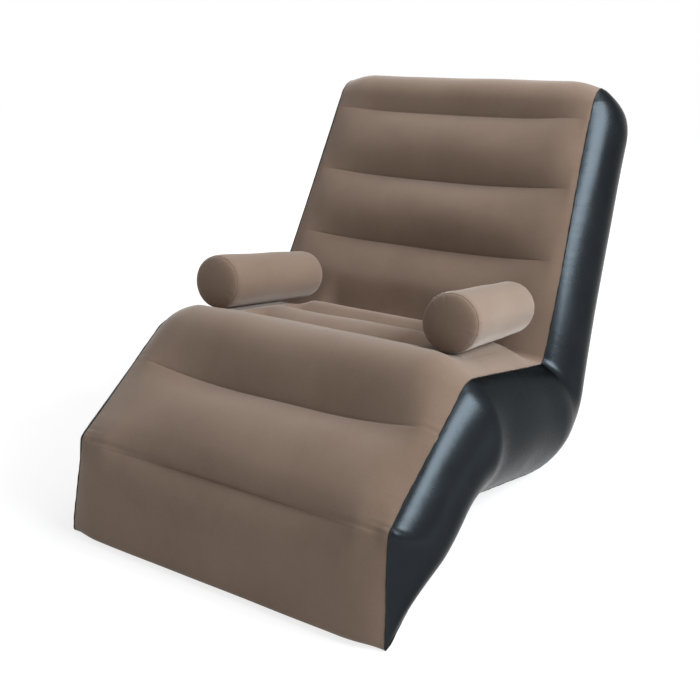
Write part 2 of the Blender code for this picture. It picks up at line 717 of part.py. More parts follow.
def make_main_valve(chamber, base_sheet):
    """Screw valve: welded socket, threaded plug with a check flap, and a cap on a tether."""
    frame = main_valve_frame(chamber)
    bottom = WELD_GAP
    flange_top = bottom + FLANGE_THICKNESS
    turned("main_valve_socket", (
        (SOCKET_RADIUS, SOCKET_HEIGHT), (SOCKET_RADIUS, flange_top), (FLANGE_RADIUS, flange_top),
        (FLANGE_RADIUS, bottom), (SOCKET_RADIUS, bottom), (SOCKET_RADIUS, -SOCKET_DEPTH),
        (SOCKET_BORE, -SOCKET_DEPTH), (SOCKET_BORE, SOCKET_HEIGHT)), VALVE_PVC, frame, VALVE_SIDES)
    hole = turned("valve_hole", (
        (0.0, CUT_OVERRUN), (SOCKET_RADIUS + WELD_GAP, CUT_OVERRUN),
        (SOCKET_RADIUS + WELD_GAP, -CUT_OVERRUN), (0.0, -CUT_OVERRUN)), VALVE_PVC, frame, VALVE_SIDES)
    combine(base_sheet, hole, "DIFFERENCE")

    seal_low = SOCKET_HEIGHT + RUNNING_GAP
    seal_top = seal_low + SEAL_HEIGHT
    seal_middle = (SOCKET_BORE + SOCKET_RADIUS) / 2
    seal_out, seal_in = seal_middle + SEAL_WIDTH / 2, seal_middle - SEAL_WIDTH / 2
    bevel = SEAL_HEIGHT / 4
    turned("main_valve_seal", (
        (seal_out - bevel, seal_top), (seal_out, seal_top - bevel), (seal_out, seal_low + bevel),
        (seal_out - bevel, seal_low), (seal_in + bevel, seal_low), (seal_in, seal_low + bevel),
        (seal_in, seal_top - bevel), (seal_in + bevel, seal_top)), SEAL_RUBBER, frame, VALVE_SIDES)

    rim_low = seal_top + RUNNING_GAP
    rim_top = rim_low + PLUG_RIM_HEIGHT
    neck_top = rim_top + NECK_HEIGHT
    turned("main_valve_plug", (
        (NECK_RADIUS, neck_top), (NECK_RADIUS, rim_top), (PLUG_RIM_RADIUS, rim_top),
        (PLUG_RIM_RADIUS, rim_low), (PLUG_RADIUS, rim_low), (PLUG_RADIUS, -PLUG_DEPTH),
        (VALVE_BORE, -PLUG_DEPTH), (VALVE_BORE, neck_top)), VALVE_PVC, frame, VALVE_SIDES)

    ring_low = rim_top + CAP_GAP
    ring_top = ring_low + TETHER_SHEET
    skirt_low = ring_top + CAP_GAP
    cap_inner = neck_top + CAP_GAP
    cap_top = cap_inner + CAP_TOP
    button_top = cap_top + BUTTON_HEIGHT
    head_top = button_top + BUTTON_HEAD
    skirt_bore = NECK_RADIUS + CAP_GAP
    turned("main_valve_cap", (
        (0.0, head_top), (BUTTON_HEAD_RADIUS, head_top), (BUTTON_HEAD_RADIUS, button_top),
        (BUTTON_RADIUS, button_top), (BUTTON_RADIUS, cap_top), (CAP_RADIUS, cap_top),
        (CAP_RADIUS, skirt_low), (skirt_bore, skirt_low), (skirt_bore, cap_inner),
        (0.0, cap_inner)), VALVE_PVC, frame, VALVE_SIDES)
    make_tether(frame, ring_low, ring_top, cap_top + (BUTTON_HEIGHT - TETHER_SHEET) / 2)

    flap_top = -(PLUG_DEPTH + RUNNING_GAP)
    hinge = (PLUG_RADIUS + VALVE_BORE + FLAP_OVERLAP) / 2
    outline = flap_outline(VALVE_BORE + FLAP_OVERLAP, hinge, TETHER_WIDTH, VALVE_SIDES)
    flat = [(x - hinge, y) for x, y in outline]
    flat_piece("main_valve_flap", flat, FLAP_THICKNESS, SEAL_RUBBER,
               shifted(frame, x=hinge, z=flap_top - FLAP_THICKNESS / 2))


def make_tether(frame, ring_low, ring_top, eye_low):
    """Strap that keeps the cap: a ring round the plug's neck, and an eye round the cap's button."""
    neck_bore = NECK_RADIUS + CAP_GAP
    neck_out = neck_bore + TETHER_RING_WALL
    eye_bore = BUTTON_RADIUS + RUNNING_GAP
    eye_out = eye_bore + TETHER_RING_WALL
    eye_top = eye_low + TETHER_SHEET
    ring = turned("main_valve_tether", (
        (neck_out, ring_top), (neck_out, ring_low), (neck_bore, ring_low), (neck_bore, ring_top)),
        VALVE_PVC, frame, VALVE_SIDES)
    eye = turned("tether_eye", (
        (eye_out, eye_top), (eye_out, eye_low), (eye_bore, eye_low), (eye_bore, eye_top)),
        VALVE_PVC, frame, VALVE_SIDES)
    inner = CAP_RADIUS + TETHER_CLEARANCE
    outer = inner + TETHER_SHEET
    start = neck_bore + TETHER_RING_WALL / 2
    finish = eye_bore + TETHER_RING_WALL / 2
    section = ((start, ring_low), (outer, ring_low), (outer, eye_top), (finish, eye_top),
               (finish, eye_low), (inner, eye_low), (inner, ring_top), (start, ring_top))
    upright = frame @ Matrix.Rotation(math.pi / 2, 4, "X")
    strap = flat_piece("tether_strap", section, TETHER_WIDTH, VALVE_PVC, upright)
    combine(ring, solid_mesh(eye), "UNION")
    combine(ring, solid_mesh(strap), "UNION")


def bolster_frame(chamber, x):
    """Frame of a bolster: Z along it to the rear, X up."""
    front = Vector((x, chamber.bolster_front.x - ORIGIN_Y, chamber.bolster_front.y))
    return frame_matrix(front, Vector((0.0, *chamber.bolster_along)), Vector((0.0, *chamber.bolster_up)))


def patch_places(chamber):
    """Places along the seat that a bolster's weld patch covers."""
    names = [name for name, _, _, _ in chamber.beams]
    rear = chamber.beams[names.index("seat_beam_rear")][1]
    front = chamber.beams[names.index("seat_beam_front")][1]
    reach = (front - rear) / 2
    return [at for at, _ in chamber.rows if rear - reach <= at <= front + reach]


def strip_grid(chamber, x, places, lift):
    """Grid of points over the top sheet, as wide as a bolster's weld patch."""
    half = PATCH_WIDTH / 2
    return [[chamber.surface(at, x + offset, True, lift) for offset in (-half, 0.0, half)]
            for at in places]


def make_bolster(chamber, side_name, x):
    """Armrest: flocked sleeve with two flocked end discs, a weld patch, and its own valve."""
    frame = bolster_frame(chamber, x)
    patch = strip_grid(chamber, x, patch_places(chamber), WELD_GAP)
    sheet_from_grid(side_name + "_armrest_patch", patch, PATCH_SHEET, FLOCK, 1.0)
    rim, full, ease_in = BOLSTER_RIM_RADIUS, BOLSTER_RADIUS, BOLSTER_RIM_ROUND
    middle_rim = rim + (full - rim) * math.sin(math.pi / 4)
    quarter = ease_in * (1.0 - math.cos(math.pi / 4))
    profile = ((rim, BOLSTER_LENGTH), (middle_rim, BOLSTER_LENGTH - quarter),
               (full, BOLSTER_LENGTH - ease_in), (full, ease_in), (middle_rim, quarter), (rim, 0.0))
    inner = tuple((radius - FLOCKED_SHEET, height) for radius, height in reversed(profile))
    turned(side_name + "_armrest_sleeve", profile + inner, FLOCK, frame, BOLSTER_SIDES)
    make_end_disc(side_name + "_armrest_front_disc", frame, -WELD_GAP, -FRONT_DOME, 0.0)
    rear = make_end_disc(side_name + "_armrest_rear_disc", frame, BOLSTER_LENGTH + WELD_GAP,
                         REAR_DOME, REAR_FLAT_RADIUS)
    valve_at = shifted(frame, x=SMALL_VALVE_RISE, z=BOLSTER_LENGTH + WELD_GAP + REAR_DOME)
    make_bolster_valve(side_name, valve_at, rear)


def make_end_disc(name, frame, level, dome, flat_radius):
    """Domed end disc; a flat middle takes a valve."""
    rim = BOLSTER_RIM_RADIUS
    sign = 1.0 if dome > 0.0 else -1.0
    turns = (0.0, math.pi / 6, math.pi / 3, math.pi / 2)
    outer = [(flat_radius + (rim - flat_radius) * math.cos(turn), level + dome * math.sin(turn))
             for turn in turns]
    if flat_radius > 0.0:
        outer.append((0.0, level + dome))
    inner = [(max(radius - FLOCKED_SHEET, 0.0) if radius > flat_radius else radius,
              height - sign * FLOCKED_SHEET) for radius, height in outer]
    inner[0] = (rim - FLOCKED_SHEET, level)
    profile = outer[::-1] + inner if sign > 0.0 else inner[::-1] + outer
    return turned(name, profile, FLOCK, frame, BOLSTER_SIDES)


def make_bolster_valve(side_name, frame, disc):
    """Push-in valve: a flange with a collar, a stem that slides in it, a plug and a check flap."""
    hole_radius = STEM_RADIUS + RUNNING_GAP + SMALL_COLLAR_WALL + WELD_GAP
    hole = turned(side_name + "_valve_hole", (
        (0.0, CUT_OVERRUN), (hole_radius, CUT_OVERRUN), (hole_radius, -CUT_OVERRUN),
        (0.0, -CUT_OVERRUN)), VALVE_PVC, frame, VALVE_SIDES)
    combine(disc, hole, "DIFFERENCE")
    bore = STEM_RADIUS + RUNNING_GAP
    collar = bore + SMALL_COLLAR_WALL
    bottom = WELD_GAP
    top = bottom + SMALL_FLANGE_THICKNESS
    turned(side_name + "_valve_flange", (
        (SMALL_FLANGE_RADIUS, top), (SMALL_FLANGE_RADIUS, bottom), (collar, bottom),
        (collar, -SMALL_COLLAR_DEPTH), (bore, -SMALL_COLLAR_DEPTH), (bore, top)),
        CLEAR_PVC, frame, VALVE_SIDES)
    rim_low = STEM_OUT - STEM_RIM
    stem = turned(side_name + "_valve_stem", (
        (STEM_RIM_RADIUS, STEM_OUT), (STEM_RIM_RADIUS, rim_low), (STEM_RADIUS, rim_low),
        (STEM_RADIUS, -STEM_IN), (STEM_BORE, -STEM_IN), (STEM_BORE, STEM_OUT)),
        CLEAR_PVC, frame, VALVE_SIDES)
    half_tab = STEM_TAB_WIDTH / 2
    overlap = (STEM_RIM_RADIUS + STEM_RADIUS) / 2
    tab = box_between(side_name + "_stem_tab", (overlap, -half_tab, rim_low),
                      (STEM_TAB_REACH, half_tab, STEM_OUT), CLEAR_PVC, frame)
    combine(stem, tab, "UNION")
    plug_low = STEM_OUT + RUNNING_GAP
    plug_top = plug_low + PLUG_DISC
    tip = plug_low - PLUG_NUB_LENGTH
    plug = turned(side_name + "_valve_plug", (
        (0.0, plug_top), (STEM_RIM_RADIUS, plug_top), (STEM_RIM_RADIUS, plug_low),
        (PLUG_NUB_RADIUS, plug_low), (PLUG_NUB_TIP_RADIUS, tip), (0.0, tip)),
        CLEAR_PVC, frame, VALVE_SIDES)
    hinged(plug, STEM_TAB_REACH, STEM_OUT + RUNNING_GAP / 2)
    lug = box_between(side_name + "_plug_lug", (overlap, -half_tab, plug_low),
                      (STEM_TAB_REACH, half_tab, plug_top), CLEAR_PVC, frame)
    combine(plug, lug, "UNION")
    hinge = (STEM_RADIUS + SMALL_FLAP_RADIUS) / 2
    outline = [(x - hinge, y) for x, y in flap_outline(SMALL_FLAP_RADIUS, hinge + RUNNING_GAP,
                                                       STEM_TAB_WIDTH / 2, VALVE_SIDES)]
    flap_level = -(STEM_IN + RUNNING_GAP + SMALL_FLAP / 2)
    flat_piece(side_name + "_valve_flap", outline, SMALL_FLAP, SEAL_RUBBER,
               shifted(frame, x=hinge, z=flap_level))


clear_scene()
PARTS = bpy.data.collections.new("Inflatable lounger")
CUTTERS = bpy.data.collections.new("Cutters")
bpy.context.scene.collection.children.link(PARTS)
bpy.context.scene.collection.children.link(CUTTERS)
FLOCK = make_material("Taupe flocked PVC", (0.171, 0.122, 0.093), 0.95)
BLACK_PVC = make_material("Black PVC", (0.025, 0.025, 0.028), 0.35)
INNER_PVC = make_material("Beam PVC", (0.045, 0.045, 0.050), 0.50)
VALVE_PVC = make_material("Valve plastic", (0.030, 0.030, 0.033), 0.45)
CLEAR_PVC = make_material("Clear valve PVC", (0.450, 0.440, 0.420), 0.30)
SEAL_RUBBER = make_material("Seal rubber", (0.150, 0.150, 0.150), 0.60)

BOLSTER_X = BOLSTER_SPACING / 2
TOP_COLUMNS = (SEAT_BEAM_HALF_LENGTH, BOLSTER_X - PATCH_WIDTH / 2, BOLSTER_X, BOLSTER_X + PATCH_WIDTH / 2)
BASE_COLUMNS = (SEAT_BEAM_HALF_LENGTH, BEAM_HALF_LENGTH, BOLSTER_X + PATCH_WIDTH / 2)
CHAMBER = Chamber()
ORIGIN_Y = 0.0
ORIGIN_Y = middle_of(top_grid(CHAMBER), base_grid(CHAMBER))
sheet_from_grid("top_panel", top_grid(CHAMBER), FLOCKED_SHEET, FLOCK)
BASE = sheet_from_grid("base_panel", base_grid(CHAMBER), PLAIN_SHEET, BLACK_PVC)
make_side_sheets(CHAMBER)
make_beams(CHAMBER)
make_main_valve(CHAMBER, BASE)
make_bolster(CHAMBER, "left", -BOLSTER_X)
make_bolster(CHAMBER, "right", BOLSTER_X)
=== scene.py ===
"""Inflatable air lounger: looks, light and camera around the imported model."""

import math

import bpy
import numpy as np
from mathutils import Matrix, Vector


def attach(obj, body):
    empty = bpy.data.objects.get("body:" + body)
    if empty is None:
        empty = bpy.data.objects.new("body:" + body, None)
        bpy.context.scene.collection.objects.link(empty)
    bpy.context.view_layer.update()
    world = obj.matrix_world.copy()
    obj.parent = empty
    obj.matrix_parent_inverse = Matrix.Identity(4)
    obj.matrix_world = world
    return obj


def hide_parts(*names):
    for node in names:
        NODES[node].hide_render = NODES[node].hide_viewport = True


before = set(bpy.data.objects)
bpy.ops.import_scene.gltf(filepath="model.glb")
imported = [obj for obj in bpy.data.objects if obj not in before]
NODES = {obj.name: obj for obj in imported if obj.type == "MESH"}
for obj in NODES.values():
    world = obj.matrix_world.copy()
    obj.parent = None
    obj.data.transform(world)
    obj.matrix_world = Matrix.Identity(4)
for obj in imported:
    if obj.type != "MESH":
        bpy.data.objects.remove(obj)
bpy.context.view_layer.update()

# Shape of the lounger in metres, with the values of the CAD source; ORIGIN_Y is worked out there
TOE_DROP = 0.0100
FOOT_LEAN, FOOT_HEIGHT = 0.031, 0.217
KNEE_REACH, KNEE_HEIGHT = 0.321, 0.409
SEAT_REACH, SEAT_HEIGHT = 0.779, 0.310
BACK_LENGTH, BACK_LEAN, BACK_THICKNESS = 0.736, math.radians(28.3), 0.271
REAR_TOP_RISE = 0.039
ARCH_REACH, ARCH_HEIGHT = 0.339, 0.140
HEEL_HEIGHT = -0.0175
TOE_RADIUS, FOOT_RADIUS, KNEE_RADIUS, SEAT_RADIUS = 0.012, 0.026, 0.082, 0.0245
CROWN_RADIUS, REAR_TOP_RADIUS, HEEL_RADIUS, ARCH_RADIUS = 0.076, 0.076, 0.163, 0.142
TOE_WIDTH, FOOT_WIDTH, KNEE_WIDTH = 0.760, 0.729, 0.752
SEAT_WIDTH, BACK_TOP_WIDTH = 0.7865, 0.7295
SEAM_OFFSET, WELD_GAP, WELD_SETBACK = 0.0004, 0.0003, 0.0006
TOP_END_CROWN, BACK_CROWN, BACK_FOOT_CROWN = 0.016, 0.012, 0.006
SEAT_REAR_CROWN, SEAT_CROWN, KNEE_CROWN = 0.048, 0.050, 0.043
LEG_CROWN, FOOT_CROWN = 0.014, 0.016
TOE_CROWN, TOE_MARGIN = 0.020, 0.022
CROWN_MARGIN, SEAT_CROWN_MARGIN, WELD_MARGIN = 0.085, 0.160, 0.060
LEG_UNDER_CROWN, ARCH_CROWN, SEAT_UNDER_CROWN, HEEL_CROWN = 0.008, 0.002, 0.037, 0.041
REAR_CROWN, REAR_TOP_CROWN = 0.016, 0.024
SIDE_ARC, SIDE_END_MARGIN = math.radians(53.6), 0.110
BACK_BEAM_PLACES = {"upper": 0.631, "middle": 0.444, "lower": 0.253}
SEAT_BEAM_PLACES = {"rear": 0.310, "front": 0.160}
LEG_BEAM_PLACES = {"upper": 0.2145, "lower": 0.012}
BACK_CHANNEL_HEIGHT, CORNER_CHANNEL_HEIGHT = -0.028, -0.010
SEAT_CHANNEL_HEIGHT, LEG_CHANNEL_HEIGHT = 0.014, -0.026
BASE_CHANNEL_HEIGHT, HEEL_CHANNEL_HEIGHT = -0.018, 0.001
BEAM_HALF_LENGTH, SEAT_BEAM_HALF_LENGTH = 0.300, 0.218
CHANNEL_FADE, SEAT_CHANNEL_FADE, END_CHANNEL_REACH = 0.058, 0.044, 0.100
BOLSTER_RADIUS, BOLSTER_LENGTH, BOLSTER_X = 0.0635, 0.379, 0.297
BOLSTER_SETBACK, BOLSTER_UNDERSIDE_RISE, BOLSTER_LIFT = 0.0927, 0.0142, math.radians(4.1)
BOLSTER_RIM_RADIUS = 0.0600
FRONT_DOME, REAR_DOME, REAR_FLAT_RADIUS = 0.016, 0.010, 0.042
BOLSTER_REST_GAP, PATCH_SHEET, PATCH_WIDTH = 0.0004, 0.0008, 0.070
SADDLE_SHARE, SADDLE_FADE = 0.64, 0.043
SMALL_VALVE_RISE = 0.020
ORIGIN_Y = 0.674135

# Soft forms of the sheets that stand in this scene only
SIDE_FOOT_MARGIN, LEFT_SWELL = 0.120, 0.62
CHANNEL_TAPER, SHORT_CHANNEL_END = 3.0, 0.80
CHANNEL_PULL = {"back_beam_upper": 0.68, "corner_beam": 0.30,
                "leg_beam_upper": 0.95, "leg_beam_lower": 0.78}
CHANNEL_SPAN = {"leg_beam_upper": 0.94, "leg_beam_lower": 0.84}
TOP_NOTCH, BASE_NOTCH, NOTCH_WIDTH, NOTCH_END, NOTCH_PULL_POWER = 0.0009, 0.0007, 0.0022, 0.6, 4
SEAT_PUFF = ((-0.150, 0.0), (-0.035, -0.018), (-0.004, 0.020), (0.070, 0.024), (0.156, 0.0))
SEAT_PUFF_HALF_WIDTH, SEAT_PUFF_FADE = 0.200, 0.055
FOOT_FOLD_PULL, FOOT_FOLD_REACH, FOOT_GROOVE_SHIFT = 0.010, 0.060, 0.020

# Valves: where the sheets round them lie flat and leave a hole
VALVE_HOLE_RADIUS = 0.0079
MAIN_VALVE_POINT = np.array((-0.15, 0.38092, 0.19568))
MAIN_VALVE_AXIS = np.array((0.0, 0.91279, -0.40842))
MAIN_VALVE_HOLE, MAIN_VALVE_FLAT, MAIN_VALVE_FLAT_FADE = 0.0206, 0.031, 0.034
MAIN_VALVE_NEAR, MAIN_VALVE_NEAR_RISE = 0.09, 0.05

# Fineness of the outline and of the meshes: step sizes are fine, coarse and growth
ARC_STEP, STRAIGHT_STEP, NEAREST_STEPS = 0.0004, 0.002, 20001
TOP_END_STEPS, TOP_STEPS = (0.002, 0.006), (0.0011, 0.0062, 1.20)
BASE_STEPS, SLEEVE_STEPS = (0.0016, 0.0070, 1.25), (0.0008, 0.0070, 1.25)
COLUMNS_LIMIT, COLUMN_STEPS = 0.38, (0.0012, 0.009, 1.3)
FOOT_MARK = 0.012
VALVE_GRID_REACH, VALVE_GRID_STEP, VALVE_GRID_CLEAR, VALVE_HALF_WIDTH = 0.036, 0.0022, 0.037, 0.386
RING_SIDES, DISC_RINGS, BEAD_SIDES, SEAM_POINTS = 120, 34, 8, 900
PATCH_ROWS, PATCH_COLUMNS = 46, 13
SIDE_ROWS, SIDE_COLUMNS, SIDE_FIRST_STEP, SIDE_GROWTH = 340, 56, 0.0016, 1.2
ONE_RAMP_SHARE, TWO_RAMP_SHARE = 0.9, 0.46

# Stage, light and camera
WORLD_LEVEL = 0.35
FLOOR_REACH, FLOOR_LIT, FLOOR_SHADE = 14.0, 0.80, 0.34
# The floor's glow runs from 0.78 within 1 m of the object's middle to 1.0 beyond 3 m: painted shade
# round the object that deepens its real shadow.
FLOOR_PAINTED_SHADE_POOL = (("From Min", 1.0), ("From Max", 3.0), ("To Min", 0.78), ("To Max", 1.0))
LIGHTS = (("top_box", (0.7, 0.85, 3.0), (0.0, -0.1, 0.4), (1.8, 1.8), 36.0, (1.0, 1.0, 1.0)),
          ("side_box", (3.12, 0.1, 2.64), (0.2, 0.1, 0.5), (2.4, 1.5), 144.0, (0.92, 0.97, 1.0)))
CAMERA_AZIMUTH, CAMERA_ELEVATION, CAMERA_ROLL = 29.136, 18.5876, 1.5442
CAMERA_POINT = (0.90105, -1.08398 - ORIGIN_Y, 0.96243)
SENSOR_WIDTH, FOCAL_PIXELS, PICTURE_PIXELS = 36.0, 824.45, 700.0


def unit(vector):
    vector = np.asarray(vector, float)
    return vector / np.linalg.norm(vector, axis=-1, keepdims=True)


def ease(share):
    share = np.clip(share, 0.0, 1.0)
    return share * share * (3.0 - 2.0 * share)


def round_edge(share):
    share = np.clip(share, 0.0, 1.0)
    return np.sqrt(1.0 - (1.0 - share) ** 2)


class Outline:
    """Closed side outline of straight runs and corner arcs, kept as a dense table."""

    def __init__(self, corners, radii):
        corners = [np.array(c, float) for c in corners]
        count = len(corners)
        joints = []
        for index, corner in enumerate(corners):
            before = unit(corners[index - 1] - corner)
            after = unit(corners[(index + 1) % count] - corner)
            half = math.acos(max(-1.0, min(1.0, float(before @ after)))) / 2
            setback = radii[index] / math.tan(half)
            centre = corner + unit((before + after) / 2) * (radii[index] / math.sin(half))
            joints.append((corner + before * setback, corner + after * setback, centre, radii[index]))
        places, points, self.corner_at = [], [], []
        place = 0.0
        for index, (start, end, centre, radius) in enumerate(joints):
            first = math.atan2(start[1] - centre[1], start[0] - centre[0])
            last = math.atan2(end[1] - centre[1], end[0] - centre[0])
            sweep = (last - first + math.pi) % (2 * math.pi) - math.pi
            length = abs(sweep) * radius
            if index == 0:
                place = -length / 2
            self.corner_at.append(place + length / 2)
            turns = np.linspace(0.0, 1.0, max(8, int(length / ARC_STEP)))
            angles = first + sweep * turns
            places.append(place + length * turns)
            points.append(centre + radius * np.stack((np.cos(angles), np.sin(angles)), 1))
            place += length
            following = joints[(index + 1) % count][0]
            straight = float(np.linalg.norm(following - end))
            shares = np.linspace(0.0, 1.0, max(4, int(straight / STRAIGHT_STEP)))
            places.append(place + straight * shares)
            points.append(end + (following - end) * shares[:, None])
            place += straight
        self.start = places[0][0]
        self.length = place - self.start
        self.places = np.concatenate(places)
        self.points = np.concatenate(points)

    def at(self, distance):
        """Points (y, z) at distances from the middle of the first corner."""
        distance = (np.asarray(distance, float) - self.start) % self.length + self.start
        return np.stack([np.interp(distance, self.places, self.points[:, k]) for k in (0, 1)], -1)

    def outward(self, distance, reach):
        """Unit normals away from the chamber, averaged over a reach to both sides."""
        distance = np.asarray(distance, float)
        chord = self.at(distance + reach) - self.at(distance - reach)
        return unit(np.stack((chord[..., 1], -chord[..., 0]), -1))

    def nearest(self, point, first, last):
        shares = np.linspace(first, last, NEAREST_STEPS)
        return float(shares[np.argmin(np.linalg.norm(self.at(shares) - point, axis=1))])


def along_stations(distance, stations):
    """Value at distances, eased between stations of (distance, value)."""
    distance = np.asarray(distance, float)
    value = np.full(distance.shape, stations[-1][1])
    for (start, low), (end, high) in reversed(list(zip(stations[:-1], stations[1:]))):
        eased = low + (high - low) * ease((distance - start) / (end - start))
        value = np.where(distance <= end, eased, value)
    return value


def ray_meets(origin, direction, start, end):
    """Point where a ray crosses the line through start and end."""
    edge = end - start
    gap = start - origin
    reach = (gap[0] * edge[1] - gap[1] * edge[0]) / (direction[0] * edge[1] - direction[1] * edge[0])
    return origin + direction * reach


UP_BACK = np.array((math.sin(BACK_LEAN), math.cos(BACK_LEAN)))
TO_REAR = np.array((math.cos(BACK_LEAN), -math.sin(BACK_LEAN)))
TOE = np.array((0.0, -TOE_DROP))
FOOT = np.array((FOOT_LEAN, FOOT_HEIGHT))
KNEE = np.array((KNEE_REACH, KNEE_HEIGHT))
SEAT = np.array((SEAT_REACH, SEAT_HEIGHT))
CROWN = SEAT + UP_BACK * BACK_LENGTH
REAR_TOP = CROWN + TO_REAR * BACK_THICKNESS + UP_BACK * REAR_TOP_RISE
ARCH = np.array((ARCH_REACH, ARCH_HEIGHT))
HEEL = ray_meets(SEAT + TO_REAR * BACK_THICKNESS, -UP_BACK, np.array((0.0, HEEL_HEIGHT)),
                 np.array((SEAT_REACH, HEEL_HEIGHT)))
PATH = Outline((TOE, ARCH, HEEL, REAR_TOP, CROWN, SEAT, KNEE, FOOT),
               (TOE_RADIUS, ARCH_RADIUS, HEEL_RADIUS, REAR_TOP_RADIUS, CROWN_RADIUS, SEAT_RADIUS,
                KNEE_RADIUS, FOOT_RADIUS))
_, ARCH_AT, HEEL_AT, REAR_TOP_AT, CROWN_AT, SEAT_AT, KNEE_AT, FOOT_AT = PATH.corner_at
END_AT = PATH.length
BOLSTER_FRONT = KNEE + np.array((BOLSTER_SETBACK, BOLSTER_UNDERSIDE_RISE + BOLSTER_RADIUS))
BOLSTER_TILT = math.atan2(KNEE_HEIGHT - SEAT_HEIGHT, SEAT_REACH - KNEE_REACH) - BOLSTER_LIFT


def top_place(corner, towards, distance):
    """Place on the top side that lies some distance from a corner towards another."""
    return PATH.nearest(corner + unit(towards - corner) * distance, CROWN_AT, FOOT_AT)


def list_beams():
    """Name, top place, base place and channel height of each inner strip."""
    found = [("back_beam_" + n, top_place(SEAT, CROWN, p), BACK_CHANNEL_HEIGHT)
             for n, p in BACK_BEAM_PLACES.items()]
    found += [("corner_beam", SEAT_AT, CORNER_CHANNEL_HEIGHT)]
    found += [("seat_beam_" + n, top_place(KNEE, SEAT, p), SEAT_CHANNEL_HEIGHT)
              for n, p in SEAT_BEAM_PLACES.items()]
    found += [("leg_beam_" + n, top_place(FOOT, KNEE, p), LEG_CHANNEL_HEIGHT)
              for n, p in LEG_BEAM_PLACES.items()]
    beams = []
    for name, top_at, height in found:
        inward = -PATH.outward(top_at, SEAT_RADIUS)
        edge = (REAR_TOP, HEEL) if name.startswith("back") else (HEEL, ARCH)
        if name.startswith("leg"):
            edge = (ARCH, TOE)
        target = ray_meets(PATH.at(top_at), inward, *edge)
        beams.append((name, top_at, PATH.nearest(target, 0.0, REAR_TOP_AT), height))
    return beams


BEAMS = list_beams()
STOPS = [(CROWN_AT, REAR_TOP_AT)] + [(t, b) for _, t, b, _ in BEAMS] + [(FOOT_AT, 0.0)]


def half_width(distance):
    return along_stations(distance, (
        (0.0, TOE_WIDTH), (ARCH_AT, KNEE_WIDTH), (HEEL_AT, SEAT_WIDTH), (REAR_TOP_AT, BACK_TOP_WIDTH),
        (CROWN_AT, BACK_TOP_WIDTH), (SEAT_AT, SEAT_WIDTH), (KNEE_AT, KNEE_WIDTH), (FOOT_AT, FOOT_WIDTH),
        (END_AT, TOE_WIDTH))) / 2


def crown_height(distance):
    return along_stations(distance, (
        (0.0, 0.0), (WELD_MARGIN, LEG_UNDER_CROWN), (ARCH_AT, ARCH_CROWN),
        ((ARCH_AT + HEEL_AT) / 2, SEAT_UNDER_CROWN), (HEEL_AT, HEEL_CROWN),
        ((HEEL_AT + REAR_TOP_AT) / 2, REAR_CROWN), (REAR_TOP_AT - WELD_MARGIN, REAR_TOP_CROWN),
        (REAR_TOP_AT, 0.0), (REAR_TOP_AT + WELD_MARGIN, TOP_END_CROWN), (CROWN_AT, TOP_END_CROWN),
        ((CROWN_AT + SEAT_AT) / 2, BACK_CROWN), (SEAT_AT, BACK_FOOT_CROWN),
        (SEAT_AT + (KNEE_AT - SEAT_AT) / 4, SEAT_REAR_CROWN), ((SEAT_AT + KNEE_AT) / 2, SEAT_CROWN),
        (KNEE_AT, KNEE_CROWN), ((KNEE_AT + FOOT_AT) / 2, LEG_CROWN), (FOOT_AT, FOOT_CROWN),
        (END_AT - TOE_MARGIN, TOE_CROWN), (END_AT, 0.0)))


def crown_share(distance, x):
    """Share of the crown at a place, from none at the side seam; it rises less steeply on the seat."""
    inset = half_width(distance) - SEAM_OFFSET - np.abs(x)
    third = (KNEE_AT - SEAT_AT) / 3
    slack = along_stations(distance, ((SEAT_AT, 0.0), (SEAT_AT + third, 1.0), (KNEE_AT - third, 1.0),
                                      (KNEE_AT, 0.0)))
    slack = np.where((distance > SEAT_AT) & (distance < KNEE_AT), slack, 0.0)
    tight = 1.0 - (1.0 - np.clip(inset / CROWN_MARGIN, 0.0, 1.0)) ** 2
    return tight + (round_edge(inset / SEAT_CROWN_MARGIN) ** 2 - tight) * slack


def channel_depth(distance, x, on_top, notch=0.0):
    """How far the channels draw the sheet in; each fades at its ends and has a fine weld line."""
    places = sorted((t if on_top else b, n, h) for n, t, b, h in BEAMS)
    if on_top:
        places[-1] = (places[-1][0] + FOOT_GROOVE_SHIFT, *places[-1][1:])
    depth = np.zeros(np.broadcast(distance, x).shape)
    for index, (at, name, height) in enumerate(places):
        reach_before = reach_after = END_CHANNEL_REACH
        if index > 0:
            reach_before = (at - places[index - 1][0]) / 2
        if index + 1 < len(places):
            reach_after = (places[index + 1][0] - at) / 2
        reach = np.where(distance > at, reach_after, reach_before)
        bottom = HEEL_CHANNEL_HEIGHT if name == "corner_beam" else BASE_CHANNEL_HEIGHT
        bottom = height if on_top else bottom
        short = on_top and name[:4] in ("seat", "corn")
        half_length = SEAT_BEAM_HALF_LENGTH if short else BEAM_HALF_LENGTH
        fade = SEAT_CHANNEL_FADE if short else CHANNEL_FADE
        past = np.maximum(np.abs(x) - half_length, 0.0) / fade
        off = np.abs(distance - at) / reach
        fall = crown_height(np.float64(at)) - bottom
        pull = CHANNEL_PULL.get(name, 1.0)
        if short:
            share = np.clip(1.0 - np.hypot(off, past * SHORT_CHANNEL_END), 0.0, 1.0)
            depth = depth + fall * share * share * (1.0 - ease(past)) * pull
        else:
            share = np.clip(1.0 - off, 0.0, 1.0)
            span = (half_length + fade) * CHANNEL_SPAN.get(name, 1.0)
            taper = np.clip(1.0 - (np.abs(x) / span) ** CHANNEL_TAPER, 0.0, 1.0)
            depth = depth + fall * share * share * taper * pull
        if notch:
            line = np.exp(-(((distance - at) / NOTCH_WIDTH) ** 2)) * (1.0 - ease(past / NOTCH_END))
            depth = depth + notch * line * pull ** NOTCH_PULL_POWER
    return depth


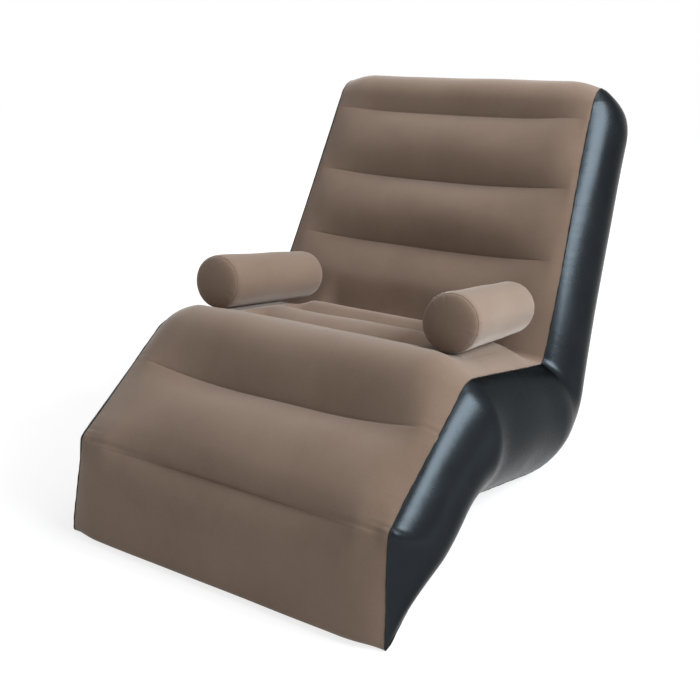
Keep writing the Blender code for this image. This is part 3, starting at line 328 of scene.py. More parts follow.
def saddle(point, out, x):
    """Move of the top sheet's points so that a bolster lies on the sheet."""
    along = np.array((math.cos(BOLSTER_TILT), -math.sin(BOLSTER_TILT)))
    up = np.array((math.sin(BOLSTER_TILT), math.cos(BOLSTER_TILT)))
    offset = point - BOLSTER_FRONT
    place = offset @ along
    level = BOLSTER_RADIUS + BOLSTER_REST_GAP + PATCH_SHEET + WELD_GAP
    move = -(offset @ up + level) / (out @ up)
    outside = np.abs(x) - BOLSTER_X
    move = np.where(move > 0.0, move * (1.0 - ease(2.0 * outside / PATCH_WIDTH)), move)
    beside = np.abs(outside) - PATCH_WIDTH / 2
    beyond = np.maximum(-FRONT_DOME - place, place - BOLSTER_LENGTH * SADDLE_SHARE)
    return move * (1.0 - ease(beside / SADDLE_FADE)) * (1.0 - ease(beyond / SADDLE_FADE))


def surface(distance, x, on_top, lift=0.0, extra=0.0, notch=0.0):
    """Points of the chamber's outer surface; distance and x are arrays of one shape."""
    distance, x = np.broadcast_arrays(np.asarray(distance, float), np.asarray(x, float))
    channels = channel_depth(distance, x, on_top, notch)
    height = crown_share(distance, x) * crown_height(distance) - channels + extra
    out = PATH.outward(distance, FOOT_RADIUS)
    point = PATH.at(distance) + out * height[..., None]
    if on_top:
        on_seat = (distance > SEAT_AT) & (distance < FOOT_AT)
        slope = np.where(on_seat[..., None], out, np.array((0.0, 1.0)))
        move = np.where(on_seat, saddle(point, slope, x), 0.0)
        point = point + out * move[..., None]
    point = point + out * np.asarray(lift, float)[..., None]
    return np.stack((x, point[..., 0] - ORIGIN_Y, np.maximum(point[..., 1], 0.0)), -1)


# Mesh helpers
def ring_angles(sides=RING_SIDES):
    return np.linspace(0.0, 2 * math.pi, sides, endpoint=False)


def graded(start, end, fine, coarse, growth=1.22, both=True):
    """Places from start to end, close together at the ends and coarse between."""
    steps = [fine]
    while steps[-1] < coarse:
        steps.append(steps[-1] * growth)
    ramp = np.concatenate(([0.0], np.cumsum(steps)))
    length = abs(end - start)
    if both:
        ramp = ramp[ramp < length * TWO_RAMP_SHARE]
        inner = length - 2 * ramp[-1]
        middle = np.linspace(ramp[-1], length - ramp[-1], max(2, int(math.ceil(inner / coarse)) + 1))
        places = np.concatenate((ramp[:-1], middle, length - ramp[:-1][::-1]))
    else:
        ramp = ramp[ramp < length * ONE_RAMP_SHARE]
        middle = np.linspace(ramp[-1], length, max(2, int(math.ceil((length - ramp[-1]) / coarse)) + 1))
        places = np.concatenate((ramp[:-1], middle))
    return start + (end - start) * places / length


def grid_normals(grid):
    """Unit normals of a grid of points."""
    down = np.gradient(grid, axis=0)
    over = np.gradient(grid, axis=1)
    return unit(np.cross(down, over) + 1e-15)


def waves(a, b, terms):
    """Sum of slow waves; each term is amplitude, wavelengths along a and b, and phase."""
    total = 0.0
    for amplitude, length_a, length_b, phase in terms:
        total = total + amplitude * np.sin(2 * math.pi * (a / length_a + b / length_b) + phase)
    return total


def quads(rows, columns, closed=False, flip=False):
    """Faces of a grid of rows by columns; closed joins the last column to the first."""
    index = np.arange(rows * columns).reshape(rows, columns)
    right = np.roll(index, -1, axis=1) if closed else index[:, 1:]
    left = index if closed else index[:, :-1]
    faces = np.stack((left[:-1], left[1:], right[1:], right[:-1]), -1).reshape(-1, 4)
    return faces[:, ::-1] if flip else faces


def loop_faces(rows, columns):
    """Faces of a bead: a grid of rows by columns that closes on itself both ways."""
    index = np.arange(rows * columns).reshape(rows, columns)
    after = np.roll(index, -1, axis=0)
    corners = (index, after, np.roll(after, -1, axis=1), np.roll(index, -1, axis=1))
    return np.stack(corners, -1).reshape(-1, 4)


def new_piece(name, points, faces, material, body, slot, replaced=(), padded=None):
    """A smooth mesh piece that rides on a body."""
    mesh = bpy.data.meshes.new(name)
    points = np.asarray(points, float).reshape(-1, 3).tolist()
    mesh.from_pydata(points, [], [list(map(int, face)) for face in faces])
    mesh.validate()
    mesh.shade_smooth()
    mesh.materials.append(material)
    item = bpy.data.objects.new(name, mesh)
    bpy.context.scene.collection.objects.link(item)
    if replaced:
        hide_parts(*replaced)
    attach(item, body)


def joined(*parts):
    """One list of points and faces from several."""
    points, faces, first = [], [], 0
    for some, their in parts:
        points.append(np.asarray(some).reshape(-1, 3))
        faces += [[int(i) + first for i in face] for face in their]
        first += len(points[-1])
    return np.concatenate(points), faces


# Materials
class Nodes:
    """Shorthand for building a node material."""

    def __init__(self, name):
        self.material = bpy.data.materials.new(name)
        self.material.use_nodes = True
        self.tree = self.material.node_tree
        self.shader = self.tree.nodes["Principled BSDF"]
        self.place = self.add("ShaderNodeTexCoord").outputs["Object"]

    def add(self, kind, **values):
        node = self.tree.nodes.new(kind)
        for key, value in values.items():
            setattr(node, key, value)
        return node

    def link(self, out, socket):
        self.tree.links.new(out, socket)

    def noise(self, scale, detail=3.0, roughness=0.5, distortion=0.0, stretch=None):
        node = self.add("ShaderNodeTexNoise")
        node.inputs["Scale"].default_value = scale
        node.inputs["Detail"].default_value = detail
        node.inputs["Roughness"].default_value = roughness
        node.inputs["Distortion"].default_value = distortion
        place = self.place
        if stretch:
            mapping = self.add("ShaderNodeMapping")
            mapping.inputs["Scale"].default_value = stretch
            self.link(place, mapping.inputs["Vector"])
            place = mapping.outputs["Vector"]
        self.link(place, node.inputs["Vector"])
        return node.outputs["Fac"]

    def ramp(self, value, low, high, out_low=0.0, out_high=1.0):
        node = self.add("ShaderNodeMapRange")
        node.inputs["From Min"].default_value = low
        node.inputs["From Max"].default_value = high
        node.inputs["To Min"].default_value = out_low
        node.inputs["To Max"].default_value = out_high
        self.link(value, node.inputs["Value"])
        return node.outputs["Result"]

    def math(self, operation, first, second):
        node = self.add("ShaderNodeMath", operation=operation)
        for socket, value in zip(node.inputs, (first, second)):
            if isinstance(value, float):
                socket.default_value = value
            else:
                self.link(value, socket)
        return node.outputs["Value"]

    def mix(self, factor, first, second, blend="MIX"):
        node = self.add("ShaderNodeMix", data_type="RGBA", blend_type=blend)
        for name, value in (("Factor", factor), ("A", first), ("B", second)):
            socket = [s for s in node.inputs if s.name == name and s.enabled][0]
            if isinstance(value, float):
                socket.default_value = value
            elif isinstance(value, tuple):
                socket.default_value = (*value, 1.0)
            else:
                self.link(value, socket)
        return [s for s in node.outputs if s.enabled][0]

    def bump(self, height, strength, distance, normal=None):
        node = self.add("ShaderNodeBump")
        node.inputs["Strength"].default_value = strength
        node.inputs["Distance"].default_value = distance
        self.link(height, node.inputs["Height"])
        if normal is not None:
            self.link(normal, node.inputs["Normal"])
        return node.outputs["Normal"]

    def set(self, **values):
        for name, value in values.items():
            socket = self.shader.inputs[name.replace("_", " ")]
            if isinstance(value, (int, float)):
                socket.default_value = value
            elif isinstance(value, tuple):
                socket.default_value = (*value, 1.0) if len(value) == 3 else value
            else:
                self.link(value, socket)
        return self


def flock_material():
    """Velvety flocked vinyl: short dense nap with slow lighter and darker strokes."""
    made = Nodes("Flocked vinyl taupe")
    strokes = made.noise(5.5, 3.0, 0.55, 0.6, (1.0, 0.55, 0.8))
    patches = made.noise(26.0, 4.0, 0.6, 0.3)
    nap = made.noise(420.0, 2.0, 0.6)
    specks = made.noise(1500.0, 2.0, 0.7)
    colour = made.mix(made.ramp(strokes, 0.32, 0.70), (0.196, 0.131, 0.094), (0.233, 0.160, 0.116))
    colour = made.mix(made.ramp(patches, 0.35, 0.75, 0.0, 0.35), colour, (0.241, 0.172, 0.131))
    colour = made.mix(made.ramp(nap, 0.35, 0.65, 0.0, 0.22), colour, (0.142, 0.097, 0.071))
    colour = made.mix(made.ramp(specks, 0.45, 0.75, 0.0, 0.30), colour, (0.290, 0.220, 0.180))
    height = made.math("ADD", made.math("MULTIPLY", nap, 0.7), made.math("MULTIPLY", specks, 0.5))
    normal = made.bump(height, 0.35, 0.0006)
    normal = made.bump(patches, 0.10, 0.0020, normal)
    made.set(Base_Color=colour, Roughness=made.ramp(nap, 0.3, 0.7, 0.86, 0.98), Normal=normal,
             Sheen_Weight=0.55, Sheen_Roughness=0.45, Sheen_Tint=(0.95, 0.90, 0.85),
             Specular_IOR_Level=0.20)
    return made.material


def black_vinyl_material(name="Black vinyl", shade=(0.0205, 0.0244, 0.0278), gloss=0.26):
    """Soft black vinyl sheet: fine leathery grain, slight scuffs and dust.

    The shade is the sheet's reflectance, and the edge tint stands for its grain, which keeps
    the sheet dark where it is seen at a low angle.
    """
    made = Nodes(name)
    grain = made.noise(950.0, 3.0, 0.6)
    pebble = made.add("ShaderNodeTexVoronoi", feature="DISTANCE_TO_EDGE")
    pebble.inputs["Scale"].default_value = 620.0
    made.link(made.place, pebble.inputs["Vector"])
    slow = made.noise(9.0, 3.0, 0.55, 0.4)
    scuffs = made.noise(70.0, 5.0, 0.7, 1.2, (1.0, 0.35, 1.0))
    colour = made.mix(made.ramp(slow, 0.35, 0.70), shade, tuple(1.2 * c for c in shade))
    colour = made.mix(made.ramp(scuffs, 0.62, 0.80, 0.0, 0.10), colour, (0.040, 0.042, 0.046))
    rough = made.math("ADD", made.ramp(slow, 0.3, 0.7, gloss - 0.03, gloss + 0.04),
                      made.ramp(scuffs, 0.55, 0.85, 0.0, 0.06))
    normal = made.bump(made.ramp(pebble.outputs["Distance"], 0.0, 0.25), 0.10, 0.0002)
    normal = made.bump(grain, 0.10, 0.0002, normal)
    made.set(Base_Color=colour, Roughness=rough, Normal=normal, Metallic=1.0,
             Specular_Tint=(0.50, 0.50, 0.50))
    return made.material


def moulded_material(name, shade, gloss, clear=0.0):
    """Injection-moulded valve plastic with a faint orange peel."""
    made = Nodes(name)
    peel = made.noise(700.0, 2.0, 0.5)
    slow = made.noise(60.0, 3.0, 0.6)
    colour = made.mix(made.ramp(slow, 0.35, 0.7), shade, tuple(min(1.0, 1.25 * c) for c in shade))
    made.set(Base_Color=colour, Roughness=made.ramp(slow, 0.3, 0.7, gloss - 0.05, gloss + 0.07),
             Normal=made.bump(peel, 0.12, 0.0002), Transmission_Weight=clear, IOR=1.5)
    return made.material


FLOCK = flock_material()
BLACK = black_vinyl_material()
INNER = black_vinyl_material("Inner strip vinyl", (0.040, 0.041, 0.045), 0.48)
VALVE = moulded_material("Valve plastic moulded", (0.022, 0.023, 0.025), 0.38)
CLEAR = moulded_material("Clear valve vinyl", (0.62, 0.62, 0.60), 0.22, 0.55)
RUBBER = moulded_material("Seal rubber moulded", (0.120, 0.118, 0.115), 0.62)


# The chamber's sheets
ENDLESS = 1e9
SEAM_TERMS = ((0.00012, 0.023, ENDLESS, 0.4), (0.00010, 0.0171, ENDLESS, 2.1),
              (0.00020, 0.047, ENDLESS, 1.1))
BEAD_TERMS = ((0.6, 0.083, ENDLESS, 0.3), (0.5, 0.031, ENDLESS, 1.9), (0.4, 0.217, ENDLESS, 4.4))
TOP_TERMS = ((0.0007, 0.31, 0.45, 0.3), (0.0006, 0.19, -0.37, 1.7), (0.0004, 0.13, 0.21, 4.1))
BASE_TERMS = ((0.0007, 0.29, 0.43, 0.9), (0.0006, 0.17, -0.39, 2.7))
SIDE_TERMS = ((0.0005, 0.43, 0.61, 0.8), (0.0004, -0.53, 0.29, 2.2))
GATHER_REACH, SIDE_TOP_GATHER_REACH, SIDE_BASE_GATHER_REACH = 0.030, 0.016, 0.020
GATHER_MARGIN, GATHER_FALL, SIDE_GATHER, BASE_STRETCH, LEFT_SHIFT = 0.004, 1.3, 1.7, 1.07, 0.013
QUIET_SHARE, LIVELY_SHARE, LIVELY_TURNS = 0.35, 0.65, 11.0
WAVE_MARGIN, END_MARGIN, FOLD_MARGIN, SIDE_MARGIN = 0.05, 0.03, 0.03, 0.02
BEAD_RADIUS, BEAD_FLOOR_SHARE = 0.0013, 0.7
BEAD_OUTSET, BEAD_FLATNESS, BEAD_UNEVENNESS, BEAD_TURN_REACH = 0.0003, 0.8, 0.35, 0.004

# Gathers at the corners: place, depth, wavelength and width
PUCKERS = ((CROWN_AT - 0.030, 0.0011, 0.012, 0.022), (CROWN_AT + 0.045, 0.0007, 0.011, 0.020),
           (KNEE_AT - 0.030, 0.0009, 0.013, 0.026), (KNEE_AT + 0.120, 0.0005, 0.016, 0.018),
           (FOOT_AT - 0.004, 0.0006, 0.013, 0.016), (FOOT_AT + 0.110, 0.0004, 0.018, 0.030))


def seam_ripple(distance, gap, reach=GATHER_REACH):
    """Small gathers of a sheet next to a side seam; gap is how far a point lies from it."""
    strength = QUIET_SHARE + LIVELY_SHARE * ease(np.sin(distance * LIVELY_TURNS) * 0.5 + 0.5)
    ripple = waves(distance, 0.0, SEAM_TERMS) * strength
    for at, depth, length, width in PUCKERS:
        off = distance - at
        ripple = ripple + depth * np.cos(2 * math.pi * off / length) * np.exp(-((off / width) ** 2))
    close = np.clip(gap / GATHER_MARGIN, 0.0, 1.0)
    return ripple * np.exp(-((gap / reach) ** GATHER_FALL)) * close


def column_shares():
    """Shares from -1 to 1 across a sheet, close together at the seams."""
    half = graded(0.0, COLUMNS_LIMIT, *COLUMN_STEPS, both=False) / COLUMNS_LIMIT
    right = 1.0 - half[::-1]
    return np.concatenate((-right[::-1], right[1:]))


def make_top():
    places = [graded(REAR_TOP_AT + WELD_SETBACK, CROWN_AT, *TOP_END_STEPS)]
    marks = [CROWN_AT] + [t for _, t, _, _ in BEAMS[:-1]]
    marks += [FOOT_AT - FOOT_MARK, BEAMS[-1][1] + FOOT_GROOVE_SHIFT, END_AT - WELD_SETBACK]
    for start, end in zip(marks[:-1], marks[1:]):
        places.append(graded(start, end, *TOP_STEPS)[1:])
    distance = np.concatenate(places)[:, None]
    x = column_shares()[None, :] * (half_width(distance) - SEAM_OFFSET)
    gap = half_width(distance) - SEAM_OFFSET - np.abs(x)
    side = np.where(x > 0.0, 0.0, LEFT_SHIFT)
    inner = np.clip(gap / WAVE_MARGIN, 0.0, 1.0)
    extra = seam_ripple(distance + side, gap)
    extra = extra + inner * waves(distance, x, TOP_TERMS)
    ends = np.minimum(distance - REAR_TOP_AT, END_AT - distance)
    extra = extra * np.clip(ends / END_MARGIN, 0.0, 1.0)
    puff = along_stations(distance, [(SEAT_AT + at, rise) for at, rise in SEAT_PUFF])
    extra = extra + puff * (1.0 - ease((np.abs(x) - SEAT_PUFF_HALF_WIDTH) / SEAT_PUFF_FADE))
    fold = np.clip(1.0 - np.abs(distance - FOOT_AT) / FOOT_FOLD_REACH, 0.0, 1.0)
    extra = extra - FOOT_FOLD_PULL * fold * fold * ease(gap / FOLD_MARGIN)
    grid = surface(distance, x, True, extra=extra, notch=TOP_NOTCH)
    new_piece("top_sheet", grid, quads(*grid.shape[:2]), FLOCK, "lounger", "flocked_pvc",
              ("top_panel",), padded=1.0)


def slope_limited(marks, values):
    """Slopes of a smooth curve through points, held back so that it never turns round between them."""
    gaps = np.diff(values) / np.diff(marks)
    slopes = np.concatenate(([gaps[0]], (gaps[:-1] + gaps[1:]) / 2, [gaps[-1]]))
    for k, gap in enumerate(gaps):
        a, b = slopes[k] / gap, slopes[k + 1] / gap
        if a * a + b * b > 9.0:
            scale = 3.0 / math.hypot(a, b)
            slopes[k], slopes[k + 1] = scale * a * gap, scale * b * gap
    return slopes


def smooth_through(marks, values, wanted):
    """Values of that smooth curve at the wanted places."""
    marks, values = np.asarray(marks, float), np.asarray(values, float)
    slopes = slope_limited(marks, values)
    k = np.clip(np.searchsorted(marks, wanted, side="right") - 1, 0, len(marks) - 2)
    h = marks[k + 1] - marks[k]
    t = (wanted - marks[k]) / h
    return ((1 + 2 * t) * (1 - t) ** 2 * values[k] + t * (1 - t) ** 2 * h * slopes[k]
            + t * t * (3 - 2 * t) * values[k + 1] + t * t * (t - 1) * h * slopes[k + 1])


def seam_point(distance):
    """Points of the right side seam."""
    point = PATH.at(distance)
    x = half_width(np.asarray(distance) % PATH.length) + SEAM_OFFSET
    return np.stack((x, point[..., 0] - ORIGIN_Y, np.maximum(point[..., 1], 0.0)), -1)


def side_surface():
    """Grid of the right side sheet: a patch between four seams, swollen to a round section."""
    tops = np.array([t for t, _ in STOPS])
    bases = np.array([b for _, b in STOPS])
    middles = (seam_point(tops) + seam_point(bases)) / 2
    marks = np.concatenate(([0.0], np.cumsum(np.linalg.norm(np.diff(middles, axis=0), axis=1))))
    wanted = graded(0.0, marks[-1], SIDE_FIRST_STEP, marks[-1] / SIDE_ROWS, SIDE_GROWTH)
    top_at = smooth_through(marks, tops, wanted)
    base_at = smooth_through(marks, bases, wanted)
    top_at[0], base_at[0], top_at[-1], base_at[-1] = tops[0], bases[0], tops[-1], bases[-1]
    upper, lower = seam_point(top_at), seam_point(base_at)
    middle = (upper + lower) / 2
    along_at = np.concatenate(([0.0], np.cumsum(np.linalg.norm(np.diff(middle, axis=0), axis=1))))
    along = (along_at / along_at[-1])[:, None, None]
    turn = SIDE_ARC * (2.0 * np.linspace(0.0, 1.0, SIDE_COLUMNS) - 1.0)
    across = (np.sin(turn) / math.sin(SIDE_ARC) + 1.0) / 2
    head = seam_point(CROWN_AT + (REAR_TOP_AT - CROWN_AT) * across)[None]
    foot = seam_point(FOOT_AT + (END_AT - FOOT_AT) * across)[None]
    a = across[None, :, None]
    grid = upper[:, None] * (1 - a) + lower[:, None] * a + head * (1 - along) + foot * along
    grid = grid - ((upper[0] * (1 - a) + lower[0] * a) * (1 - along)
                   + (upper[-1] * (1 - a) + lower[-1] * a) * along)
    swell = round_edge(along_at / SIDE_END_MARGIN)
    swell *= np.sin(np.pi / 2 * np.clip((along_at[-1] - along_at) / SIDE_FOOT_MARGIN, 0.0, 1.0))
    sagitta = np.linalg.norm(lower - upper, axis=1) / 2 * math.tan(SIDE_ARC / 2) * swell
    grid[..., 0] += sagitta[:, None] * (np.cos(turn) - math.cos(SIDE_ARC)) / (1.0 - math.cos(SIDE_ARC))
    normal = grid_normals(grid)
    normal *= np.where(normal[..., :1] < 0.0, -1.0, 1.0)
    from_top = np.linalg.norm(grid - grid[:, :1], axis=2)
    from_base = np.linalg.norm(grid - grid[:, -1:], axis=2)
    from_end = np.minimum(np.linalg.norm(grid - grid[:1], axis=2),
                          np.linalg.norm(grid - grid[-1:], axis=2))
    ripple = SIDE_GATHER * seam_ripple(top_at[:, None], from_top, SIDE_TOP_GATHER_REACH)
    ripple += seam_ripple(base_at[:, None] * BASE_STRETCH, from_base, SIDE_BASE_GATHER_REACH)
    ripple += waves(grid[..., 1], grid[..., 2], SIDE_TERMS)
    ripple *= np.clip(np.minimum(np.minimum(from_top, from_base), from_end) / SIDE_MARGIN, 0.0, 1.0)
    return grid + normal * ripple[..., None]


def seam_bead(side):
    """Welded lip where the side sheet meets the other sheets, all the way round."""
    distance = np.linspace(0.0, PATH.length, SEAM_POINTS, endpoint=False)
    point = seam_point(distance)
    point[:, 0] += BEAD_OUTSET
    point[:, 2] = np.maximum(point[:, 2], BEAD_RADIUS * BEAD_FLOOR_SHARE)
    out = PATH.outward(distance, BEAD_TURN_REACH)
    up = np.stack((np.zeros(len(out)), out[:, 0], out[:, 1]), -1)
    across = np.zeros_like(up)
    across[:, 0] = 1.0
    angles = ring_angles(BEAD_SIDES)
    ring = (across[:, None] * np.cos(angles)[None, :, None]
            + up[:, None] * np.sin(angles)[None, :, None] * BEAD_FLATNESS)
    size = BEAD_RADIUS * (1.0 + BEAD_UNEVENNESS * waves(distance, 0.0, BEAD_TERMS))
    points = point[:, None] + ring * size[:, None, None]
    points[..., 0] *= side
    faces = loop_faces(SEAM_POINTS, BEAD_SIDES)[:, [0, 3, 2, 1]]
    return points.reshape(-1, 3), (faces if side > 0 else faces[:, ::-1])


def weld_lip_material():
    """Cut edge of the welded sheets: matt, slightly dusty, and painted near-black, darker than the
    sheets, for the shade that falls in the crease along the seam.
    """
    made = Nodes("Weld lip vinyl painted shade")
    dust = made.noise(160.0, 4.0, 0.65)
    grain = made.noise(900.0, 2.0, 0.6)
    # The near-black lip colours are painted shade for the crease along the seam; the dust mask varies
    # them.
    painted_shade_and_dust_colours = (0.0060, 0.0062, 0.0070), (0.0150, 0.0148, 0.0150)
    colour = made.mix(made.ramp(dust, 0.45, 0.75), *painted_shade_and_dust_colours)
    made.set(Base_Color=colour, Roughness=made.ramp(dust, 0.3, 0.7, 0.55, 0.72),
             Normal=made.bump(grain, 0.15, 0.0002), Specular_IOR_Level=0.25)
    return made.material


def make_sides():
    """Both side sheets and their weld lips; the left sheet swells less."""
    right = side_surface()
    lip = weld_lip_material()
    for name, side in (("left", -1.0), ("right", 1.0)):
        grid = right.copy()
        if side < 0.0:
            flat = np.maximum(grid[:, :1, 0], grid[:, -1:, 0])
            swollen = grid[..., 0] - flat
            grid[..., 0] = np.where(grid[..., 0] > flat, flat + swollen * LEFT_SWELL, grid[..., 0])
        grid[..., 0] *= side
        new_piece(name + "_side_sheet", grid, quads(*grid.shape[:2], flip=side > 0), BLACK, "lounger",
                  "black_pvc", (name + "_side_panel",), padded=1.0)
        new_piece(name + "_weld_lip", *seam_bead(side), lip, "lounger", "black_pvc")


def make_base():
    marks = [WELD_SETBACK] + sorted(b for _, _, b, _ in BEAMS) + [REAR_TOP_AT - WELD_SETBACK]
    places = [np.array([marks[0]])]
    for start, end in zip(marks[:-1], marks[1:]):
        places.append(graded(start, end, *BASE_STEPS)[1:])
    distance = np.concatenate(places)
    valve = np.array((MAIN_VALVE_POINT[1] + ORIGIN_Y, MAIN_VALVE_POINT[2]))
    valve_at = PATH.nearest(valve, HEEL_AT, REAR_TOP_AT)
    near = np.arange(valve_at - VALVE_GRID_REACH, valve_at + VALVE_GRID_REACH, VALVE_GRID_STEP)
    kept = distance[np.abs(distance - valve_at) > VALVE_GRID_CLEAR]
    distance = np.sort(np.concatenate((kept, near)))[:, None]
    shares = column_shares()
    x_share = MAIN_VALVE_POINT[0] / VALVE_HALF_WIDTH
    near = np.arange(-VALVE_GRID_REACH, VALVE_GRID_REACH, VALVE_GRID_STEP) / VALVE_HALF_WIDTH
    kept = shares[np.abs(shares - x_share) > VALVE_GRID_CLEAR / VALVE_HALF_WIDTH]
    shares = np.sort(np.concatenate((kept, x_share + near)))
    x = shares[None, :] * (half_width(distance) - SEAM_OFFSET)
    gap = half_width(distance) - SEAM_OFFSET - np.abs(x)
    inner = np.clip(gap / WAVE_MARGIN, 0.0, 1.0)
    extra = seam_ripple(distance * BASE_STRETCH, gap) + inner * waves(distance, x, BASE_TERMS)
    ends = np.minimum(distance, REAR_TOP_AT - distance)
    extra = extra * np.clip(ends / END_MARGIN, 0.0, 1.0)
    grid = surface(distance, x, False, extra=extra, notch=BASE_NOTCH)
    offset = grid - MAIN_VALVE_POINT
    rise = offset @ MAIN_VALVE_AXIS
    around = np.linalg.norm(offset - rise[..., None] * MAIN_VALVE_AXIS, axis=2)
    near_valve = (around < MAIN_VALVE_NEAR) & (np.abs(rise) < MAIN_VALVE_NEAR_RISE)
    flat = 1.0 - ease((around - MAIN_VALVE_FLAT) / MAIN_VALVE_FLAT_FADE)
    flat = np.where(near_valve, flat, 0.0)
    grid = grid - (rise * flat)[..., None] * MAIN_VALVE_AXIS
    faces = quads(*grid.shape[:2])
    inside = (around.reshape(-1) < MAIN_VALVE_HOLE) & near_valve.reshape(-1)
    faces = faces[~inside[faces].any(axis=1)]
    new_piece("base_sheet", grid, faces, BLACK, "lounger", "black_pvc", ("base_panel",), padded=1.0)


# Bolsters
SLEEVE_SHOULDER, SLEEVE_GATHER, SLEEVE_GATHER_REACH = 0.020, 0.0011, 0.022
SLEEVE_WAVE, SLEEVE_WAVELENGTH, REAR_PHASE = 0.0006, 0.21, 1.9
UNDERSIDE_START, UNDERSIDE_FADE = 0.80, 0.15
DISC_GATHER, DISC_GATHER_REACH, DISC_MIDDLE, DISC_GRADING = 0.0009, 0.014, 0.0008, 1.6
RIM_MARGIN, RIM_OUTSET, RIM_BEAD, RIM_FLATNESS = 0.003, 0.0004, 0.0009, 0.9


def bolster_axes(x):
    """Front end, up, across and along of the bolster at x."""
    along = np.array((0.0, math.cos(BOLSTER_TILT), -math.sin(BOLSTER_TILT)))
    up = np.array((0.0, math.sin(BOLSTER_TILT), math.cos(BOLSTER_TILT)))
    origin = np.array((x, BOLSTER_FRONT[0] - ORIGIN_Y, BOLSTER_FRONT[1]))
    return origin, up, np.cross(along, up), along


def on_bolster(x, a, b, c):
    """World points from places up, across and along a bolster."""
    origin, up, across, along = bolster_axes(x)
    return (origin + np.asarray(a)[..., None] * up + np.asarray(b)[..., None] * across
            + np.asarray(c)[..., None] * along)


def rim_ripple(angle, phase):
    """Uneven gathers round a bolster's end seam."""
    return (0.45 * np.sin(17 * angle + phase) + 0.35 * np.sin(29 * angle + 2.3 * phase)
            + 0.30 * np.sin(41 * angle + 1.1 * phase)) * (0.55 + 0.45 * np.sin(3 * angle + phase))


def make_sleeve(side_name, x, phase):
    """Round sleeve with gathers at both ends and a smooth underside."""
    angle = ring_angles()[None]
    place = graded(0.0, BOLSTER_LENGTH, *SLEEVE_STEPS)[:, None]
    from_end = np.minimum(place, BOLSTER_LENGTH - place)
    share = np.clip(from_end / SLEEVE_SHOULDER, 0.0, 1.0)
    radius = BOLSTER_RIM_RADIUS + (BOLSTER_RADIUS - BOLSTER_RIM_RADIUS) * round_edge(share)
    gather = rim_ripple(angle, phase + np.where(place > BOLSTER_LENGTH / 2, REAR_PHASE, 0.0))
    fade = np.exp(-(from_end / SLEEVE_GATHER_REACH)) * np.clip(from_end / RIM_MARGIN, 0.0, 1.0)
    ripple = SLEEVE_GATHER * gather * fade
    turn = 2 * math.pi * place / SLEEVE_WAVELENGTH + 2 * angle + phase
    ripple = ripple + SLEEVE_WAVE * np.sin(turn)
    bottom = ease((-np.cos(angle) - UNDERSIDE_START) / UNDERSIDE_FADE)
    radius = radius + ripple * (1.0 - bottom)
    grid = on_bolster(x, radius * np.cos(angle), radius * np.sin(angle), place + 0.0 * angle)
    new_piece(side_name + "_sleeve", grid, quads(*grid.shape[:2], closed=True), FLOCK, "lounger",
              "flocked_pvc", (side_name + "_armrest_sleeve",), padded=1.0)


def end_ring(x, level):
    """Welded rim between a sleeve and an end disc."""
    angle = ring_angles()[:, None]
    turn = ring_angles(BEAD_SIDES)[None]
    radius = BOLSTER_RIM_RADIUS + RIM_OUTSET + RIM_BEAD * np.cos(turn) * RIM_FLATNESS
    place = level + RIM_BEAD * np.sin(turn)
    grid = on_bolster(x, radius * np.cos(angle), radius * np.sin(angle), place + 0.0 * angle)
    return grid.reshape(-1, 3), loop_faces(RING_SIDES, BEAD_SIDES)


def make_disc(side_name, end_name, x, level, dome, flat_radius, hole, phase):
    """Domed end disc as rings from its middle, or from its valve's hole, to its rim."""
    sign = 1.0 if dome > 0.0 else -1.0
    rim = BOLSTER_RIM_RADIUS
    angle = ring_angles()[None]
    share = np.linspace(0.0, 1.0, DISC_RINGS)[:, None]
    share = 1.0 - (1.0 - share) ** DISC_GRADING
    centre = SMALL_VALVE_RISE * (1.0 - share) if hole > 0.0 else 0.0 * share
    start = hole if hole > 0.0 else DISC_MIDDLE
    ring = start + (rim - start) * share
    a = centre + ring * np.cos(angle)
    b = ring * np.sin(angle)
    radius = np.clip(np.hypot(a, b), 0.0, rim)
    slant = np.clip((radius - flat_radius) / (rim - flat_radius), 0.0, 1.0)
    height = abs(dome) * np.sqrt(1.0 - slant ** 2)
    inset = rim - radius
    fade = np.exp(-(inset / DISC_GATHER_REACH)) * np.clip(inset / RIM_MARGIN, 0.0, 1.0)
    height = height + DISC_GATHER * rim_ripple(angle, phase) * fade
    grid = on_bolster(x, a, b, level + sign * height)
    faces = quads(*grid.shape[:2], closed=True, flip=sign < 0)
    parts = [(grid.reshape(-1, 3), faces), end_ring(x, level)]
    if hole == 0.0:
        parts.append((grid[0], [list(range(RING_SIDES))[::(-1 if sign < 0 else 1)]]))
    new_piece(side_name + end_name, *joined(*parts), FLOCK, "lounger", "flocked_pvc",
              (side_name + "_armrest" + end_name,), padded=1.0)


def make_patch(side_name, x):
    """Weld patch under a bolster: two layers that follow the top sheet."""
    names = [n for n, _, _, _ in BEAMS]
    rear, front = (BEAMS[names.index("seat_beam_" + n)][1] for n in ("rear", "front"))
    reach = (front - rear) / 2
    shape = (PATCH_ROWS, PATCH_COLUMNS)
    at = np.linspace(rear - reach, front + reach, PATCH_ROWS)[:, None]
    offset = np.linspace(-PATCH_WIDTH / 2, PATCH_WIDTH / 2, PATCH_COLUMNS)[None]
    place = (at + 0.0 * offset, x + offset + 0.0 * at, True)
    low = surface(*place, lift=np.full(shape, WELD_GAP))
    high = surface(*place, lift=np.full(shape, WELD_GAP + PATCH_SHEET))
    layers = joined((high, quads(*shape)), (low, quads(*shape, flip=True)))
    new_piece(side_name + "_patch", *layers, FLOCK, "lounger", "flocked_pvc",
              (side_name + "_armrest_patch",), padded=0.2)


